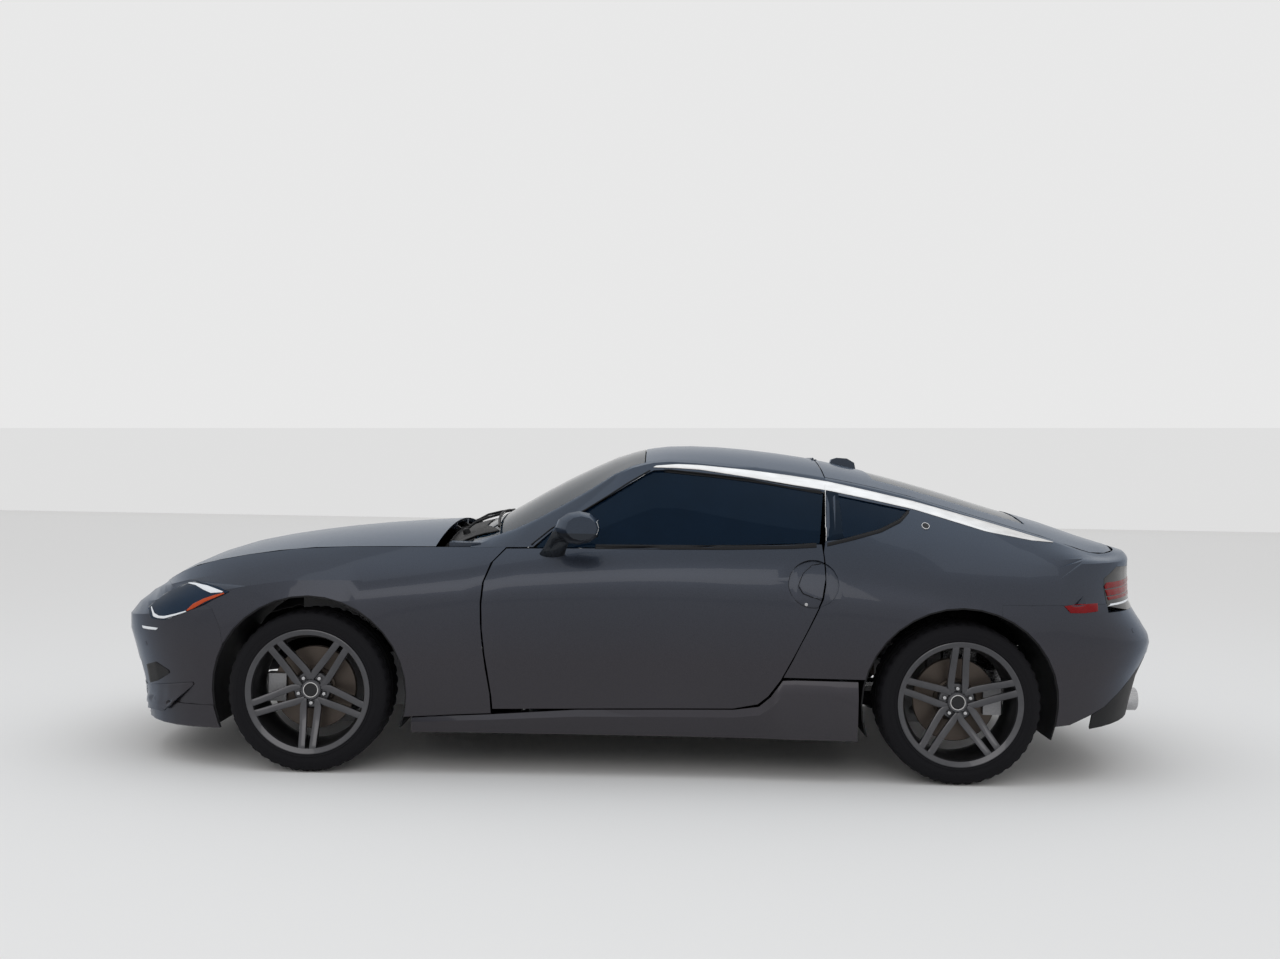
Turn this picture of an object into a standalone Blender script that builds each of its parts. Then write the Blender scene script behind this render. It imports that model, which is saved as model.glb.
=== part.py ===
"""Two-seat fastback coupe with hinged doors, hood and hatch, four turning wheels and steering.

Frame: the car points along -X, +Y is its right side, +Z is up, and the origin is on the
ground under the middle of the car. All lengths are metres.

The painted skin is one surface: eight lengthwise lines, listed in a table as shares of the
overall sizes, run from the nose to the tail, and a smooth curve through them gives the
surface in between. Each panel is a stretch of that surface, given its own wall.
"""
import math

import bmesh
import bpy
import numpy as np
from mathutils import Matrix, Vector

for old in list(bpy.data.objects):
    bpy.data.objects.remove(old, do_unlink=True)

# Overall sizes
LENGTH = 4.380
WIDTH = 1.845
HEIGHT = 1.316
WHEELBASE = 2.550
TRACK = 1.550

# Clearances
SEAT_GAP = 0.0003
SHUT_GAP = 0.005
PANEL_SEAM = 0.0008
OVERRUN = 0.05

# Panel walls
SKIN = 0.008
GLASS = 0.005
LID_WALL = 0.016
LID_EDGE = 0.010
QUARTER_WALL = 0.012
RAIL_WIDTH = 0.040
RAIL_WALL = 0.035
RAIL_LIP = 0.006
LAMP_DEPTH = 0.050
TAIL_LAMP_DEPTH = 0.030
DOOR_DEPTH = 0.1575
DOOR_STEP = 0.018
GLASS_INSET = 0.012
GLASS_FOOT_DROP = 0.0023
SIDE_GLASS_BOW = 0.018
COWL_DEPTH = 0.050
# The hatch: its side gap in shut gaps, and its bevelled edge as a share of a lid's
HATCH_EASE = 1.2
HATCH_EDGE_SHARE = 0.8

# Points across and along the panels
LAMP_ROWS = 7
LAMP_COLUMNS = 11
GRILLE_ROWS = 5
GRILLE_COLUMNS = 13
HOOD_ROWS = 12
HOOD_COLUMNS = 15
BOWL_ROWS = 7
DOOR_GLASS_ROWS = 8
DOOR_GLASS_COLUMNS = 12
QUARTER_ROWS = 12
QUARTER_COLUMNS = 11
TAIL_COLUMNS = 10
QUARTER_PANE_ROWS = 6
QUARTER_PANE_COLUMNS = 10
TOP_COLUMNS = 11
HATCH_COLUMNS = 13
HATCH_PANE_ROWS = 8
HATCH_PANE_COLUMNS = 9
BUMPER_ROWS = 21
PIN_STEPS = 12
BARREL_STEPS = 8
TIP_STEPS = 16
LIP_COLUMNS = 21
DOOR_COLUMNS = 12
REAR_BUMPER_COLUMNS = 27
# Points at which a curve is read to look a place up on it
SAMPLE_ROWS = 49
SAMPLE_COLUMNS = 201
LEVEL_SAMPLES = 61
OUTLINE_SAMPLES = 40
LID_SAMPLES = 161

# Wheels
TYRE_RADIUS = 0.318
TYRE_WIDTH = 0.245
RIM_RADIUS = 0.246
RIM_SINK = 0.004
RIM_FLANGE = 0.120
RIM_LIP = 0.012
RIM_WELL = 0.026
RIM_DISH = 0.052
RIM_EDGE = 0.020
SPOKE_DEPTH = 0.036
HUB_FACE = 0.062
HUB_RADIUS = 0.075
CAP_RADIUS = 0.030
CAP_EDGE = 0.004
PLUG_RADIUS = 0.006
SPOKE_PAIRS = 5
SLOT_INNER = 0.042
SLOT_OUTER = 0.205
SLOT_ROOT = 0.016
SLOT_TIP = 0.008
PAIR_ROOT = 0.044
PAIR_TIP = 0.035
WINDOW_OUTER = 0.210
DISC_RADIUS = 0.165
DISC_FACE = -0.004
DISC_BACK = -0.028
DISC_BELL = 0.085
BELL_FACE = 0.012
SPINDLE_RADIUS = 0.028
SPINDLE_DEPTH = 0.016
TYRE_CROWN = 0.025
TYRE_SHOULDER = 0.020
TYRE_BULGE = 0.030
TYRE_FLAT = 0.004
WHEEL_STEPS = 24
ARCH_RADIUS = 0.386
ARCH_RISE = -0.006
ARCH_STEPS = 36
WELL_INNER_Y = 0.455
WELL_WALL = 0.006

# Steering and brakes
STEER_AXIS_Y = 0.700
KNUCKLE_INNER_Y = 0.660
KNUCKLE_OUTER_Y = 0.735
KNUCKLE_HALF = 0.050
KNUCKLE_RISE = 0.090
BALL_RADIUS = 0.014
ARM_RADIUS = 0.018
ARM_SPREAD = 0.110
CALLIPER_HALF = 0.055
CALLIPER_WALL = 0.021
CALLIPER_INNER = 0.110
CALLIPER_FOOT = 0.027
BRAKE_GAP = 0.005

# Hinges
DOOR_AXIS_Y = 0.852
HINGE_RADIUS = 0.009
HINGE_HEIGHT = 0.040
HINGE_ARM = 0.012
HINGE_SPAN = 0.030
HINGE_GAUGE = 0.006
HINGE_SET = 0.012
HOOD_HINGE_DROP = 0.030
LID_HINGE_Y = 0.130
LID_HINGE_RADIUS = 0.0045
STRAP_SET = 0.0075

SEAM_ROUNDS = 6

# Fenders, bumpers and lamps
FENDER_RELIEF = 0.002
FENDER_ROWS = 9
FENDER_COLUMNS = 13
BUMPER_COLUMNS = 23
LAMP_INNER_SHARE = 0.336
LAMP_LOW_R = 2.65
LAMP_HIGH_R = 4.85
LAMP_NOSE_SHARE = -0.930
LAMP_TAIL_SHARE = -0.700
LIP_END = 0.86
LIP_STEP = 0.002
LIP_FADE = 0.70
LIP_REACH = 0.055
LIP_DROP = 0.018
GRILLE_END = 0.62
GRILLE_LOW_R = 0.3
GRILLE_HIGH_R = 2.9
GRILLE_INSET = 0.003
GRILLE_DEPTH = 0.022
GRILLE_REACH = 0.30
GRILLE_SLOT = 0.019
GRILLE_SLANT = 0.030
GRILLE_RIB = 0.010
GRILLE_BAYS = 3
# Slots of the grille. Columns: z share of height at the nose, half span share of half width.
GRILLE_SLOT_SHARES = ((0.200, 0.60), (0.224, 0.585), (0.248, 0.57), (0.272, 0.475), (0.296, 0.455),
                      (0.320, 0.445), (0.344, 0.435))
HOOD_CROWD = 1.6
# Gap at the hood's sides by the nose, in shut gaps; it widens by half a gap towards the rear
HOOD_NOSE_EASE = 1.5
HANDLE_DEPTH = 0.009
BOWL_STEPS = 20
TAIL_TUCK = 0.70
BAR_TUCK = 0.90
QUARTER_TURN_G = 4.30
BUMPER_TOP_R = 4.10
LAMP_FOOT_R = 3.55
VALANCE_SEAM_R = 0.014
DIFFUSER_END = 0.66
SKIRT_SIDE_Z = 0.26
SKIRT_FLARE = 0.018
SKIRT_HEM = 0.012
PANE_SINK = 0.003
FIN_HALF = 0.020
MIRROR_STEPS = 12

# Hinge pillar, rocker and hinge arms
PILLAR_NEAR = 0.680
PILLAR_FAR = 0.775
ROCKER_NEAR = 0.700
ROCKER_FAR = 0.800
ARM_Y = 0.739
POCKET_AHEAD = 0.125
POCKET_BEHIND = 0.017
POCKET_DEPTH = 0.130

# Floor
FLOOR_LOW = 0.138
FLOOR_TOP = 0.165
FLOOR_REAR = 0.900
FLOOR_HALF = 0.690
FIREWALL_X = -0.690
FIREWALL_WALL = 0.030
FIREWALL_HALF = 0.660
FIREWALL_TOP = 0.860
TUNNEL_HALF = 0.130
TUNNEL_TOP = 0.340
LOAD_FRONT = 0.800
LOAD_REAR = 1.960
LOAD_LOW = 0.520
LOAD_TOP = 0.550
FRAME_INNER_Y = 0.385
FRAME_LOW = 0.420
FRAME_TOP = 0.500
FRAME_FRONT = -1.960
BEAM_WALL = 0.060
BEAM_OVERLAP = 0.010
BEAM_HALF = 0.500
BEAM_NOSE_X = -2.000
WELL_EXTRA = 2

# Wheel windows, subframes and arms
APEX_TURN = 0.09
SUBFRAME_HALF = 0.100
SUBFRAME_Y = 0.440
SUBFRAME_LOW = 0.120
SUBFRAME_TOP = 0.170
LOWER_ARM_Z = 0.200
UPPER_ARM_Z = 0.450
REAR_FRAME_HALF = 0.140
REAR_FRAME_Y = 0.360
REAR_FRAME_LOW = 0.150
REAR_FRAME_TOP = 0.320
# Rear arms. Columns: x at the subframe and at the carrier from the axle, z at both ends.
REAR_ARM_PLACES = ((-0.090, -0.025, 0.200, 0.260), (0.090, 0.025, 0.200, 0.260), (0.0, 0.0, 0.300, 0.385))

# Engine and exhaust
ENGINE_HALF = 0.300
ENGINE_TOP = 0.660
PIPE_FRONT = 0.830
PIPE_Z = 0.250
PIPE_RADIUS = 0.030
SILENCER_FRONT = 1.480
SILENCER_REAR = 1.820
SILENCER_HALF = 0.440
SILENCER_LOW = 0.210
SILENCER_TOP = 0.390
TIP_SET = 0.070
TIP_Y = 0.380
TIP_Z = 0.270
TIP_RADIUS = 0.045
TIP_GAP = 0.006

# Cabin
DASH_HALF = 0.640
BINNACLE_HALF = 0.170
COLUMN_TILT = 24.0
COLUMN_X = -0.0438
COLUMN_Z = 0.740
COLUMN_GAP = 0.060
COLUMN_LENGTH = 0.300
COLUMN_RADIUS = 0.026
GRIP_RADIUS = 0.180
GRIP_WALL = 0.015
SPOKE_BAR = 0.013
BOSS_RADIUS = 0.040
DRIVER_SHARE = 0.3903
SEAT_HALF = 0.225
BOLSTER = 0.070
HEADREST_HALF = 0.110

half_length = LENGTH / 2
half_width = WIDTH / 2
axle = WHEELBASE / 2
wheel_y = TRACK / 2

# Side knots between the axles, as shares of half the length
KNOT_SHARES = (-0.251, 0.046, 0.342)
# The nose and tail knots beyond the axles, as a share of half the length
OUTER_KNOT_SHARE = 0.799

# The lines of the skin, bottom to top. Columns: nose x and tail x as shares of half the
# length; powers of the rounded front and rear corner in plan; half widths at the front axle,
# the three side knots and the rear axle, as shares of half the width; heights at the nose,
# the front outer knot, the five knots before, the rear outer knot and the tail, as shares of
# the height.
LINE_SHARES = {
    "hem": (-0.959, 0.959, 2.7, 3.0, (0.959, 0.938, 0.932, 0.945, 0.965),
            (0.125, 0.133, 0.152, 0.186, 0.201, 0.186, 0.152, 0.163, 0.182)),
    "tuck": (-0.977, 0.975, 2.7, 3.0, (0.981, 0.945, 0.934, 0.959, 0.989),
             (0.251, 0.258, 0.274, 0.289, 0.304, 0.296, 0.281, 0.281, 0.304)),
    "waist": (-0.989, 1.000, 2.8, 3.0, (0.992, 0.959, 0.945, 0.972, 1.000),
              (0.342, 0.372, 0.395, 0.403, 0.410, 0.410, 0.403, 0.395, 0.403)),
    "swell": (-1.000, 0.982, 2.8, 3.0, (0.992, 0.973, 0.959, 0.981, 1.000),
              (0.418, 0.464, 0.502, 0.505, 0.509, 0.513, 0.517, 0.502, 0.460)),
    "shoulder": (-0.973, 0.959, 2.8, 3.0, (0.938, 0.959, 0.952, 0.956, 0.949),
                 (0.475, 0.536, 0.597, 0.600, 0.608, 0.612, 0.608, 0.581, 0.532)),
    "belt": (-0.941, 0.961, 2.8, 3.2, (0.759, 0.878, 0.894, 0.889, 0.851),
             (0.513, 0.608, 0.663, 0.679, 0.690, 0.709, 0.688, 0.661, 0.657)),
}
LINE_NAMES = tuple(LINE_SHARES)

# The roof rail from the foot of the windscreen pillar to the tail.
# Columns: x as a share of half the length, y of half the width, z of the height.
RAIL_SHARES = (
    (-0.320, 0.840, 0.678),
    (-0.233, 0.775, 0.716),
    (-0.123, 0.732, 0.809),
    (0.000, 0.690, 0.929),
    (0.055, 0.674, 0.945),
    (0.205, 0.658, 0.927),
    (0.356, 0.653, 0.894),
    (0.514, 0.659, 0.840),
    (0.582, 0.672, 0.807),
    (0.772, 0.661, 0.718),
    (0.877, 0.607, 0.668),
    (0.955, 0.000, 0.684),
)
RAIL_POWER = 4.0

# The top of the car on its centre line. Columns: x share, z share.
HOOD_CENTRE_SHARES = (
    (-0.941, 0.513), (-0.913, 0.552), (-0.851, 0.608), (-0.790, 0.646), (-0.726, 0.670),
    (-0.662, 0.688), (-0.539, 0.714), (-0.416, 0.731), (-0.320, 0.741),
)
ROOF_CENTRE_SHARES = (
    (-0.345, 0.700), (-0.289, 0.741), (-0.227, 0.800), (-0.166, 0.859), (-0.104, 0.912),
    (-0.042, 0.959), (0.014, 0.986), (0.068, 0.998), (0.119, 1.000), (0.183, 0.995),
    (0.320, 0.971), (0.457, 0.926), (0.580, 0.874), (0.703, 0.814), (0.822, 0.758),
    (0.890, 0.720), (0.936, 0.697), (0.955, 0.686),
)

# Where the panels meet
HOOD_REAR_SHARE = -0.365
COWL_REAR_SHARE = -0.300
SCREEN_TOP_SHARE = 0.012
ROOF_REAR_SHARE = 0.350
# Stations of the windscreen, roof and rail, front to rear, as shares of half length
TOP_SHARES = (-0.300, -0.265, -0.225, -0.186, -0.140, -0.090, -0.045, -0.010, 0.012, 0.030, 0.060, 0.105,
              0.160, 0.220, 0.280, 0.330, 0.350, 0.352, 0.362)
# Door outline. Columns: x share of half length, z share of height, bottom to top.
DOOR_FRONT_SHARES = ((-0.252, 0.199), (-0.254, 0.235), (-0.265, 0.339), (-0.272, 0.442),
                     (-0.273, 0.522), (-0.265, 0.610), (-0.230, 0.683))
DOOR_REAR_SHARES = ((0.181, 0.2135), (0.225, 0.228), (0.246, 0.258), (0.267, 0.308), (0.303, 0.429),
                    (0.326, 0.509), (0.340, 0.573), (0.341, 0.623), (0.336, 0.710))
DOOR_LEVEL_SHARES = (0.0, 0.03, 0.08, 0.18, 0.34, 0.5, 0.66, 0.8, 0.92, 1.0)
# Foremost point of the fender at each line, hem to belt, as shares of half length
FENDER_SEAM_SHARES = (-0.735, -0.735, -0.735, -0.745, -0.822, -0.913)
# Where the quarter panel meets the rear bumper, the skirt and the tail lamp
BUMPER_SEAM_Z_SHARE = 0.540
BUMPER_SEAM_X_SHARE = 0.650
SKIRT_TOP_SHARE = 0.310

# Outlines in side view. Columns: x share of half length, z share of height.
HEADLAMP_SHARES = ((-0.902, 0.470), (-0.886, 0.439), (-0.855, 0.440), (-0.811, 0.467),
                   (-0.771, 0.499), (-0.729, 0.534), (-0.751, 0.545), (-0.777, 0.551),
                   (-0.811, 0.555), (-0.839, 0.539), (-0.871, 0.513))
QUARTER_WINDOW_SHARES = ((0.358, 0.718), (0.366, 0.852), (0.505, 0.808), (0.482, 0.780),
                         (0.444, 0.752), (0.386, 0.724))
DOOR_GLASS_FRONT_SHARES = ((-0.185, 0.690), (-0.150, 0.738), (-0.082, 0.806), (-0.026, 0.863),
                           (0.020, 0.912))
DOOR_GLASS_REAR_SHARES = ((0.333, 0.711), (0.346, 0.862))
GLASS_TOP_SHARES = ((0.020, 0.916), (0.050, 0.921), (0.131, 0.913), (0.206, 0.896),
                    (0.281, 0.875), (0.357, 0.858), (0.423, 0.839), (0.514, 0.806))

HANDLE_SHARES = (0.318, 0.590, 0.045, 0.070)
HANDLE_LEAF_SHARES = ((0.291, 0.584), (0.299, 0.619), (0.315, 0.644), (0.360, 0.652), (0.360, 0.548),
                      (0.318, 0.551), (0.299, 0.562))
TAIL_LAMP_SHARES = ((0.854, 0.515), (1.05, 0.515), (1.05, 0.640), (0.930, 0.642), (0.893, 0.645),
                    (0.857, 0.612), (0.854, 0.588))
# Outlines in front view. Columns: y share of half width, z share of height.
MOUTH_SHARES = ((-0.64, 0.215), (0.64, 0.215), (0.60, 0.285), (0.50, 0.300), (0.46, 0.400),
                (-0.46, 0.400), (-0.50, 0.300), (-0.60, 0.285))
# The hatch window in plan. Columns: x share of half length, y share of half width.
HATCH_WINDOW_SHARES = ((0.452, 0.44), (0.452, -0.44), (0.60, -0.475), (0.745, -0.46), (0.745, 0.46),
                       (0.60, 0.475))
# Top of the diffuser round the tail. Columns: places g from the centre line, z share of height.
VALANCE_SHARES = ((0.0, 0.385), (0.30, 0.375), (0.60, 0.230), (0.75, 0.182), (1.0, 0.160))
# The lip under the nose. Columns: height r, reach share, drop share.
LIP_SHARES = ((0.5, -0.10, 0.0), (0.46, 0.70, 0.0), (0.36, 1.0, 0.0), (0.20, 0.96, 0.0), (0.0, 0.60, 1.0),
              (0.0, -0.10, 1.0), (0.0, -0.10, 0.0))

# Panels between the doors and the tail. Columns: x share of half length, z share of height.
SHUT_TOP_SHARES = ((0.341, 0.69), (0.3535, 0.95))
FIN_SHARES = ((0.388, 0.935), (0.394, 0.962), (0.405, 0.968), (0.426, 0.966), (0.441, 0.952), (0.446, 0.915))
SKIRT_SHARES = (-0.396, -0.33, -0.258, -0.1, 0.046, 0.181, 0.225, 0.246, 0.267, 0.290, 0.345, 0.400)
SKIRT_FOOT_SHARE = 0.128
SKIRT_CREASE_SHARE = 0.75
# Rise of the skirt behind the door: x shares of half length, then z shares of height.
SKIRT_RISE_SHARES = ((0.181, 0.225, 0.246, 0.267, 0.290), (0.2135, 0.228, 0.258, 0.308, 0.310))
HINGE_LEVEL_SHARES = (0.430, 0.560)
DOOR_AXIS_SHARE = -0.243
DOOR_SPAN_SHARE = 0.58
GLASS_SPAN_SHARE = 0.52
PILLAR_SHARES = (-0.340, -0.283)
PILLAR_TOP_SHARE = 0.690
ROCKER_REAR_SHARE = 0.375
SILL_LOW_SHARE = 0.130
SILL_TOP_SHARE = 0.180
COWL_HALF_SHARE = 0.728
PANE_X_SHARES = (0.35, 0.52)
PANE_Z_SHARES = (0.70, 0.87)
HATCH_PANE_SHARES = (0.44, 0.75)
PANE_EDGE_SHARE = 0.12
HATCH_STATION_SHARES = (0, 0.07, 0.16, 0.27, 0.38, 0.49, 0.6, 0.7, 0.79, 0.87, 0.93, 0.97, 1.0)
ENGINE_SHARES = (-0.66, -0.36)

# Side outlines of the cabin's pieces. Columns: x, z.
DASH_PLACES = ((0, 0.500), (0, 0.800), (0.300, 0.800), (0.400, 0.760), (0.420, 0.640), (0.300, 0.500))
BINNACLE_PLACES = ((-0.04, -0.02), (0.00, 0.050), (0.090, 0.050), (0.110, 0.030), (0.090, -0.05))
SEAT_PLACES = ((0.00, 0.260), (0.00, 0.380), (0.08, 0.410), (0.42, 0.370), (0.66, 0.960), (0.76, 0.950),
               (0.60, 0.300), (0.52, 0.260))
BOLSTER_PLACES = ((0.04, 0.380), (0.06, 0.440), (0.44, 0.440), (0.50, 0.350))
BACK_BOLSTER_PLACES = ((0.40, 0.440), (0.54, 0.820), (0.62, 0.860), (0.70, 0.820), (0.54, 0.400))
HEADREST_PLACES = ((0.670, 0.940), (0.700, 1.080), (0.770, 1.080), (0.770, 0.940))
SEAT_RAIL_PLACES = (0.060, 0.540, 0.280)
# The mirror's rings. Columns: distance out from the door, half length, half height, x, z.
MIRROR_PLACES = ((0.000, 0.050, 0.012, -0.330, 0.872), (0.030, 0.045, 0.013, -0.315, 0.900),
                 (0.060, 0.045, 0.022, -0.290, 0.945), (0.090, 0.084, 0.062, -0.228, 0.980),
                 (0.150, 0.084, 0.064, -0.218, 0.985), (0.195, 0.060, 0.046, -0.205, 0.985))

nodes = {}


def material(name, color, roughness, metallic=0.0, alpha=1.0):
    """A Principled material of one colour."""
    made = bpy.data.materials.new(name)
    made.use_nodes = True
    shader = made.node_tree.nodes["Principled BSDF"]
    shader.inputs["Base Color"].default_value = (*color, 1.0)
    shader.inputs["Roughness"].default_value = roughness
    shader.inputs["Metallic"].default_value = metallic
    shader.inputs["Alpha"].default_value = alpha
    return made


PAINT = material("paint", (0.16, 0.17, 0.19), 0.30, 0.6)
GLASS_DARK = material("dark_glass", (0.02, 0.025, 0.035), 0.05)
BLACK = material("black_plastic", (0.02, 0.02, 0.02), 0.5)
STEEL = material("steel", (0.35, 0.35, 0.35), 0.4, 1.0)
ALLOY = material("grey_alloy", (0.14, 0.145, 0.155), 0.3, 0.7)
RUBBER = material("tyre_rubber", (0.02, 0.02, 0.02), 0.8)
LAMP_RED = material("lamp_red", (0.4, 0.01, 0.01), 0.15)
LAMP_CLEAR = material("lamp_clear", (0.6, 0.62, 0.66), 0.08)
SEAT_COVER = material("seat_cover", (0.03, 0.03, 0.03), 0.7)
CAST = material("cast_metal", (0.3, 0.3, 0.3), 0.55, 0.8)


def pchip(knots, values, at):
    """Smooth curve through the knots that never overshoots them, flat at its two ends."""
    knots = np.asarray(knots, float)
    values = np.asarray(values, float)
    at = np.clip(np.asarray(at, float), knots[0], knots[-1])
    step = np.diff(knots)
    slope = np.diff(values) / step
    tangent = np.zeros_like(values)
    tangent[0], tangent[-1] = slope[0], slope[-1]
    for i in range(1, len(values) - 1):
        if slope[i - 1] * slope[i] > 0:
            before, after = 2 * step[i] + step[i - 1], step[i] + 2 * step[i - 1]
            tangent[i] = (before + after) / (before / slope[i - 1] + after / slope[i])
    i = np.clip(np.searchsorted(knots, at) - 1, 0, len(knots) - 2)
    t = (at - knots[i]) / step[i]
    return ((2 * t**3 - 3 * t**2 + 1) * values[i] + (t**3 - 2 * t**2 + t) * step[i] * tangent[i]
            + (3 * t**2 - 2 * t**3) * values[i + 1] + (t**3 - t**2) * step[i] * tangent[i + 1])


side_knots = (-axle, *(share * half_length for share in KNOT_SHARES), axle)
FRONT, REAR = 1.0, 4.0


def line_point(name, g):
    """Points of a skin line: g 0 to 1 rounds the nose, 1 to 4 runs along the side, to 5 rounds the tail."""
    nose_share, tail_share, front_power, rear_power, widths, heights = LINE_SHARES[name]
    nose, tail = nose_share * half_length, tail_share * half_length
    g = np.asarray(g, float)
    angle = np.clip(g, 0, 1) * math.pi / 2
    x_front = -axle + (nose + axle) * np.cos(angle) ** (2 / front_power)
    x_side = -axle + (np.clip(g, FRONT, REAR) - FRONT) / (REAR - FRONT) * 2 * axle
    angle_rear = np.clip(g - REAR, 0, 1) * math.pi / 2
    x_rear = axle + (tail - axle) * np.sin(angle_rear) ** (2 / rear_power)
    x = np.where(g < FRONT, x_front, np.where(g > REAR, x_rear, x_side))
    y = pchip(side_knots, np.array(widths) * half_width, x)
    y = np.where(g < FRONT, widths[0] * half_width * np.sin(angle) ** (2 / front_power), y)
    y = np.where(g > REAR, widths[-1] * half_width * np.cos(angle_rear) ** (2 / rear_power), y)
    outer = OUTER_KNOT_SHARE * half_length
    knots = (nose, -outer, *side_knots, outer, tail)
    z = pchip(knots, np.array(heights) * HEIGHT, x)
    return np.stack([x, y, z], -1)


def line_g(name, x):
    """Place along a skin line of the point with this x."""
    nose_share, tail_share, front_power, rear_power = LINE_SHARES[name][:4]
    nose, tail = nose_share * half_length, tail_share * half_length
    x = np.asarray(x, float)
    front = np.clip((x + axle) / (nose + axle), 0, 1) ** (front_power / 2)
    rear = np.clip((x - axle) / (tail - axle), 0, 1) ** (rear_power / 2)
    along = FRONT + (x + axle) / (2 * axle) * (REAR - FRONT)
    return np.where(x < -axle, np.arccos(front) * 2 / math.pi,
                    np.where(x > axle, REAR + np.arcsin(rear) * 2 / math.pi, along))


rail_x = np.array([row[0] for row in RAIL_SHARES]) * half_length
rail_y = np.array([row[1] for row in RAIL_SHARES]) * half_width
rail_z = np.array([row[2] for row in RAIL_SHARES]) * HEIGHT


def rail_point(x):
    """Point of the roof rail at x; past the rear axle it rounds the tail in plan."""
    x = np.asarray(x, float)
    y = pchip(rail_x[:-1], rail_y[:-1], x)
    start = pchip(rail_x[:-1], rail_y[:-1], axle)
    share = np.clip((x - axle) / (rail_x[-1] - axle), 0, 1)
    y = np.where(x > axle, start * (1 - share**RAIL_POWER) ** (1 / RAIL_POWER), y)
    return np.stack([x, y, pchip(rail_x, rail_z, x)], -1)


def skin_point(g, r):
    """The skin at place g along the car and height r, where line i of the table lies at r = i."""
    g, r = np.broadcast_arrays(np.asarray(g, float), np.asarray(r, float))
    lines = [line_point(name, g) for name in LINE_NAMES]
    last = len(lines) - 1
    rail_of = np.where(g > REAR, axle + (rail_x[-1] - axle) * np.sin(
        np.clip(g - REAR, 0, 1) * math.pi / 2) ** (2 / RAIL_POWER), lines[last][..., 0])
    rail = rail_point(rail_of)
    point = np.zeros(g.shape + (3,))
    for i in range(last):
        before = lines[max(i - 1, 0)]
        after = lines[min(i + 2, last)]
        t = np.clip(r - i, 0, 1)[..., None]
        here = ((2 * t**3 - 3 * t**2 + 1) * lines[i] + (3 * t**2 - 2 * t**3) * lines[i + 1]
                + (t**3 - 2 * t**2 + t) * (lines[i + 1] - before) / 2
                + (t**3 - t**2) * (after - lines[i]) / 2)
        point = np.where(((r >= i) & (r <= i + 1))[..., None], here, point)
    t = (r - last)[..., None]
    above = lines[last] * (1 - t) + rail * t
    above[..., 1] += SIDE_GLASS_BOW * 4 * t[..., 0] * (1 - t[..., 0])
    return np.where((r > last)[..., None], above, point)


sample_r = np.linspace(0, len(LINE_NAMES), SAMPLE_ROWS)
skin_sample = skin_point(np.linspace(0, REAR + 1, SAMPLE_COLUMNS)[:, None], sample_r[None, :])


def side_y(x, z):
    """Half width of the skin at x and z."""
    x, z = np.broadcast_arrays(np.asarray(x, float), np.asarray(z, float))
    out = np.zeros(x.shape)
    for index in np.ndindex(x.shape):
        column = [[np.interp(x[index], skin_sample[:, j, 0], skin_sample[:, j, axis]) for axis in (1, 2)]
                  for j in range(len(sample_r))]
        widths, heights = np.array(column).T
        out[index] = np.interp(z[index], heights, widths)
    return out


def curve_x(shares, z):
    """x at height z on an outline given as shares, bottom to top."""
    knots = [share[1] * HEIGHT for share in shares]
    return pchip(knots, [share[0] * half_length for share in shares], z)


hood_x, hood_z = (np.array(column) for column in zip(*HOOD_CENTRE_SHARES))
roof_x, roof_z = (np.array(column) for column in zip(*ROOF_CENTRE_SHARES))


def hood_point(x, v):
    """The hood at x, with v from -1 at the left edge to 1 at the right."""
    x, v = np.broadcast_arrays(np.asarray(x, float), np.asarray(v, float))
    edge = line_point("belt", line_g("belt", x))
    top = pchip(hood_x * half_length, hood_z * HEIGHT, x)
    return np.stack([x, edge[..., 1] * v, edge[..., 2] + (top - edge[..., 2]) * (1 - v**2)], -1)


def roof_point(x, v):
    """The windscreen, roof and hatch at x, with v from -1 at the left rail to 1 at the right."""
    x, v = np.broadcast_arrays(np.asarray(x, float), np.asarray(v, float))
    edge = rail_point(x)
    top = pchip(roof_x * half_length, roof_z * HEIGHT, x)
    return np.stack([x, edge[..., 1] * v, edge[..., 2] + (top - edge[..., 2]) * (1 - v**2)], -1)


def mirrored(points, side):
    """Points of the right side, or their mirror image for the left."""
    points = np.array(points, float)
    points[..., 1] *= side
    return points


def add_mesh(name, verts, faces, mat, parent=None, smooth=True):
    """A named object from points and faces, its faces turned outwards."""
    mesh = bpy.data.meshes.new(name)
    mesh.from_pydata([tuple(v) for v in verts], [], faces)
    bm = bmesh.new()
    bm.from_mesh(mesh)
    bmesh.ops.recalc_face_normals(bm, faces=bm.faces)
    bm.to_mesh(mesh)
    bm.free()
    made = bpy.data.objects.new(name, mesh)
    bpy.context.scene.collection.objects.link(made)
    mesh.materials.append(mat)
    if smooth:
        mesh.shade_smooth()
        mesh.set_sharp_from_angle(angle=math.radians(35))
    attach(made, parent)
    nodes[name] = made
    return made


def attach(made, parent):
    """Hangs an object, whose points are in the car's frame, on a joint's empty."""
    if parent is not None:
        made.parent = parent
        made.matrix_parent_inverse = Matrix.Translation(-Vector(parent["place"]))


def joint_empty(name, place, parent=None):
    """An empty on a joint's axis."""
    made = bpy.data.objects.new(name, None)
    bpy.context.scene.collection.objects.link(made)
    made.location = place
    made["place"] = place
    attach(made, parent)
    return made


def grid_normals(points):
    """Unit normals of a grid of points."""
    du = np.gradient(points, axis=0)
    dv = np.gradient(points, axis=1)
    normal = np.cross(du, dv)
    length = np.linalg.norm(normal, axis=-1, keepdims=True)
    return normal / np.maximum(length, 1e-12)


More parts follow.
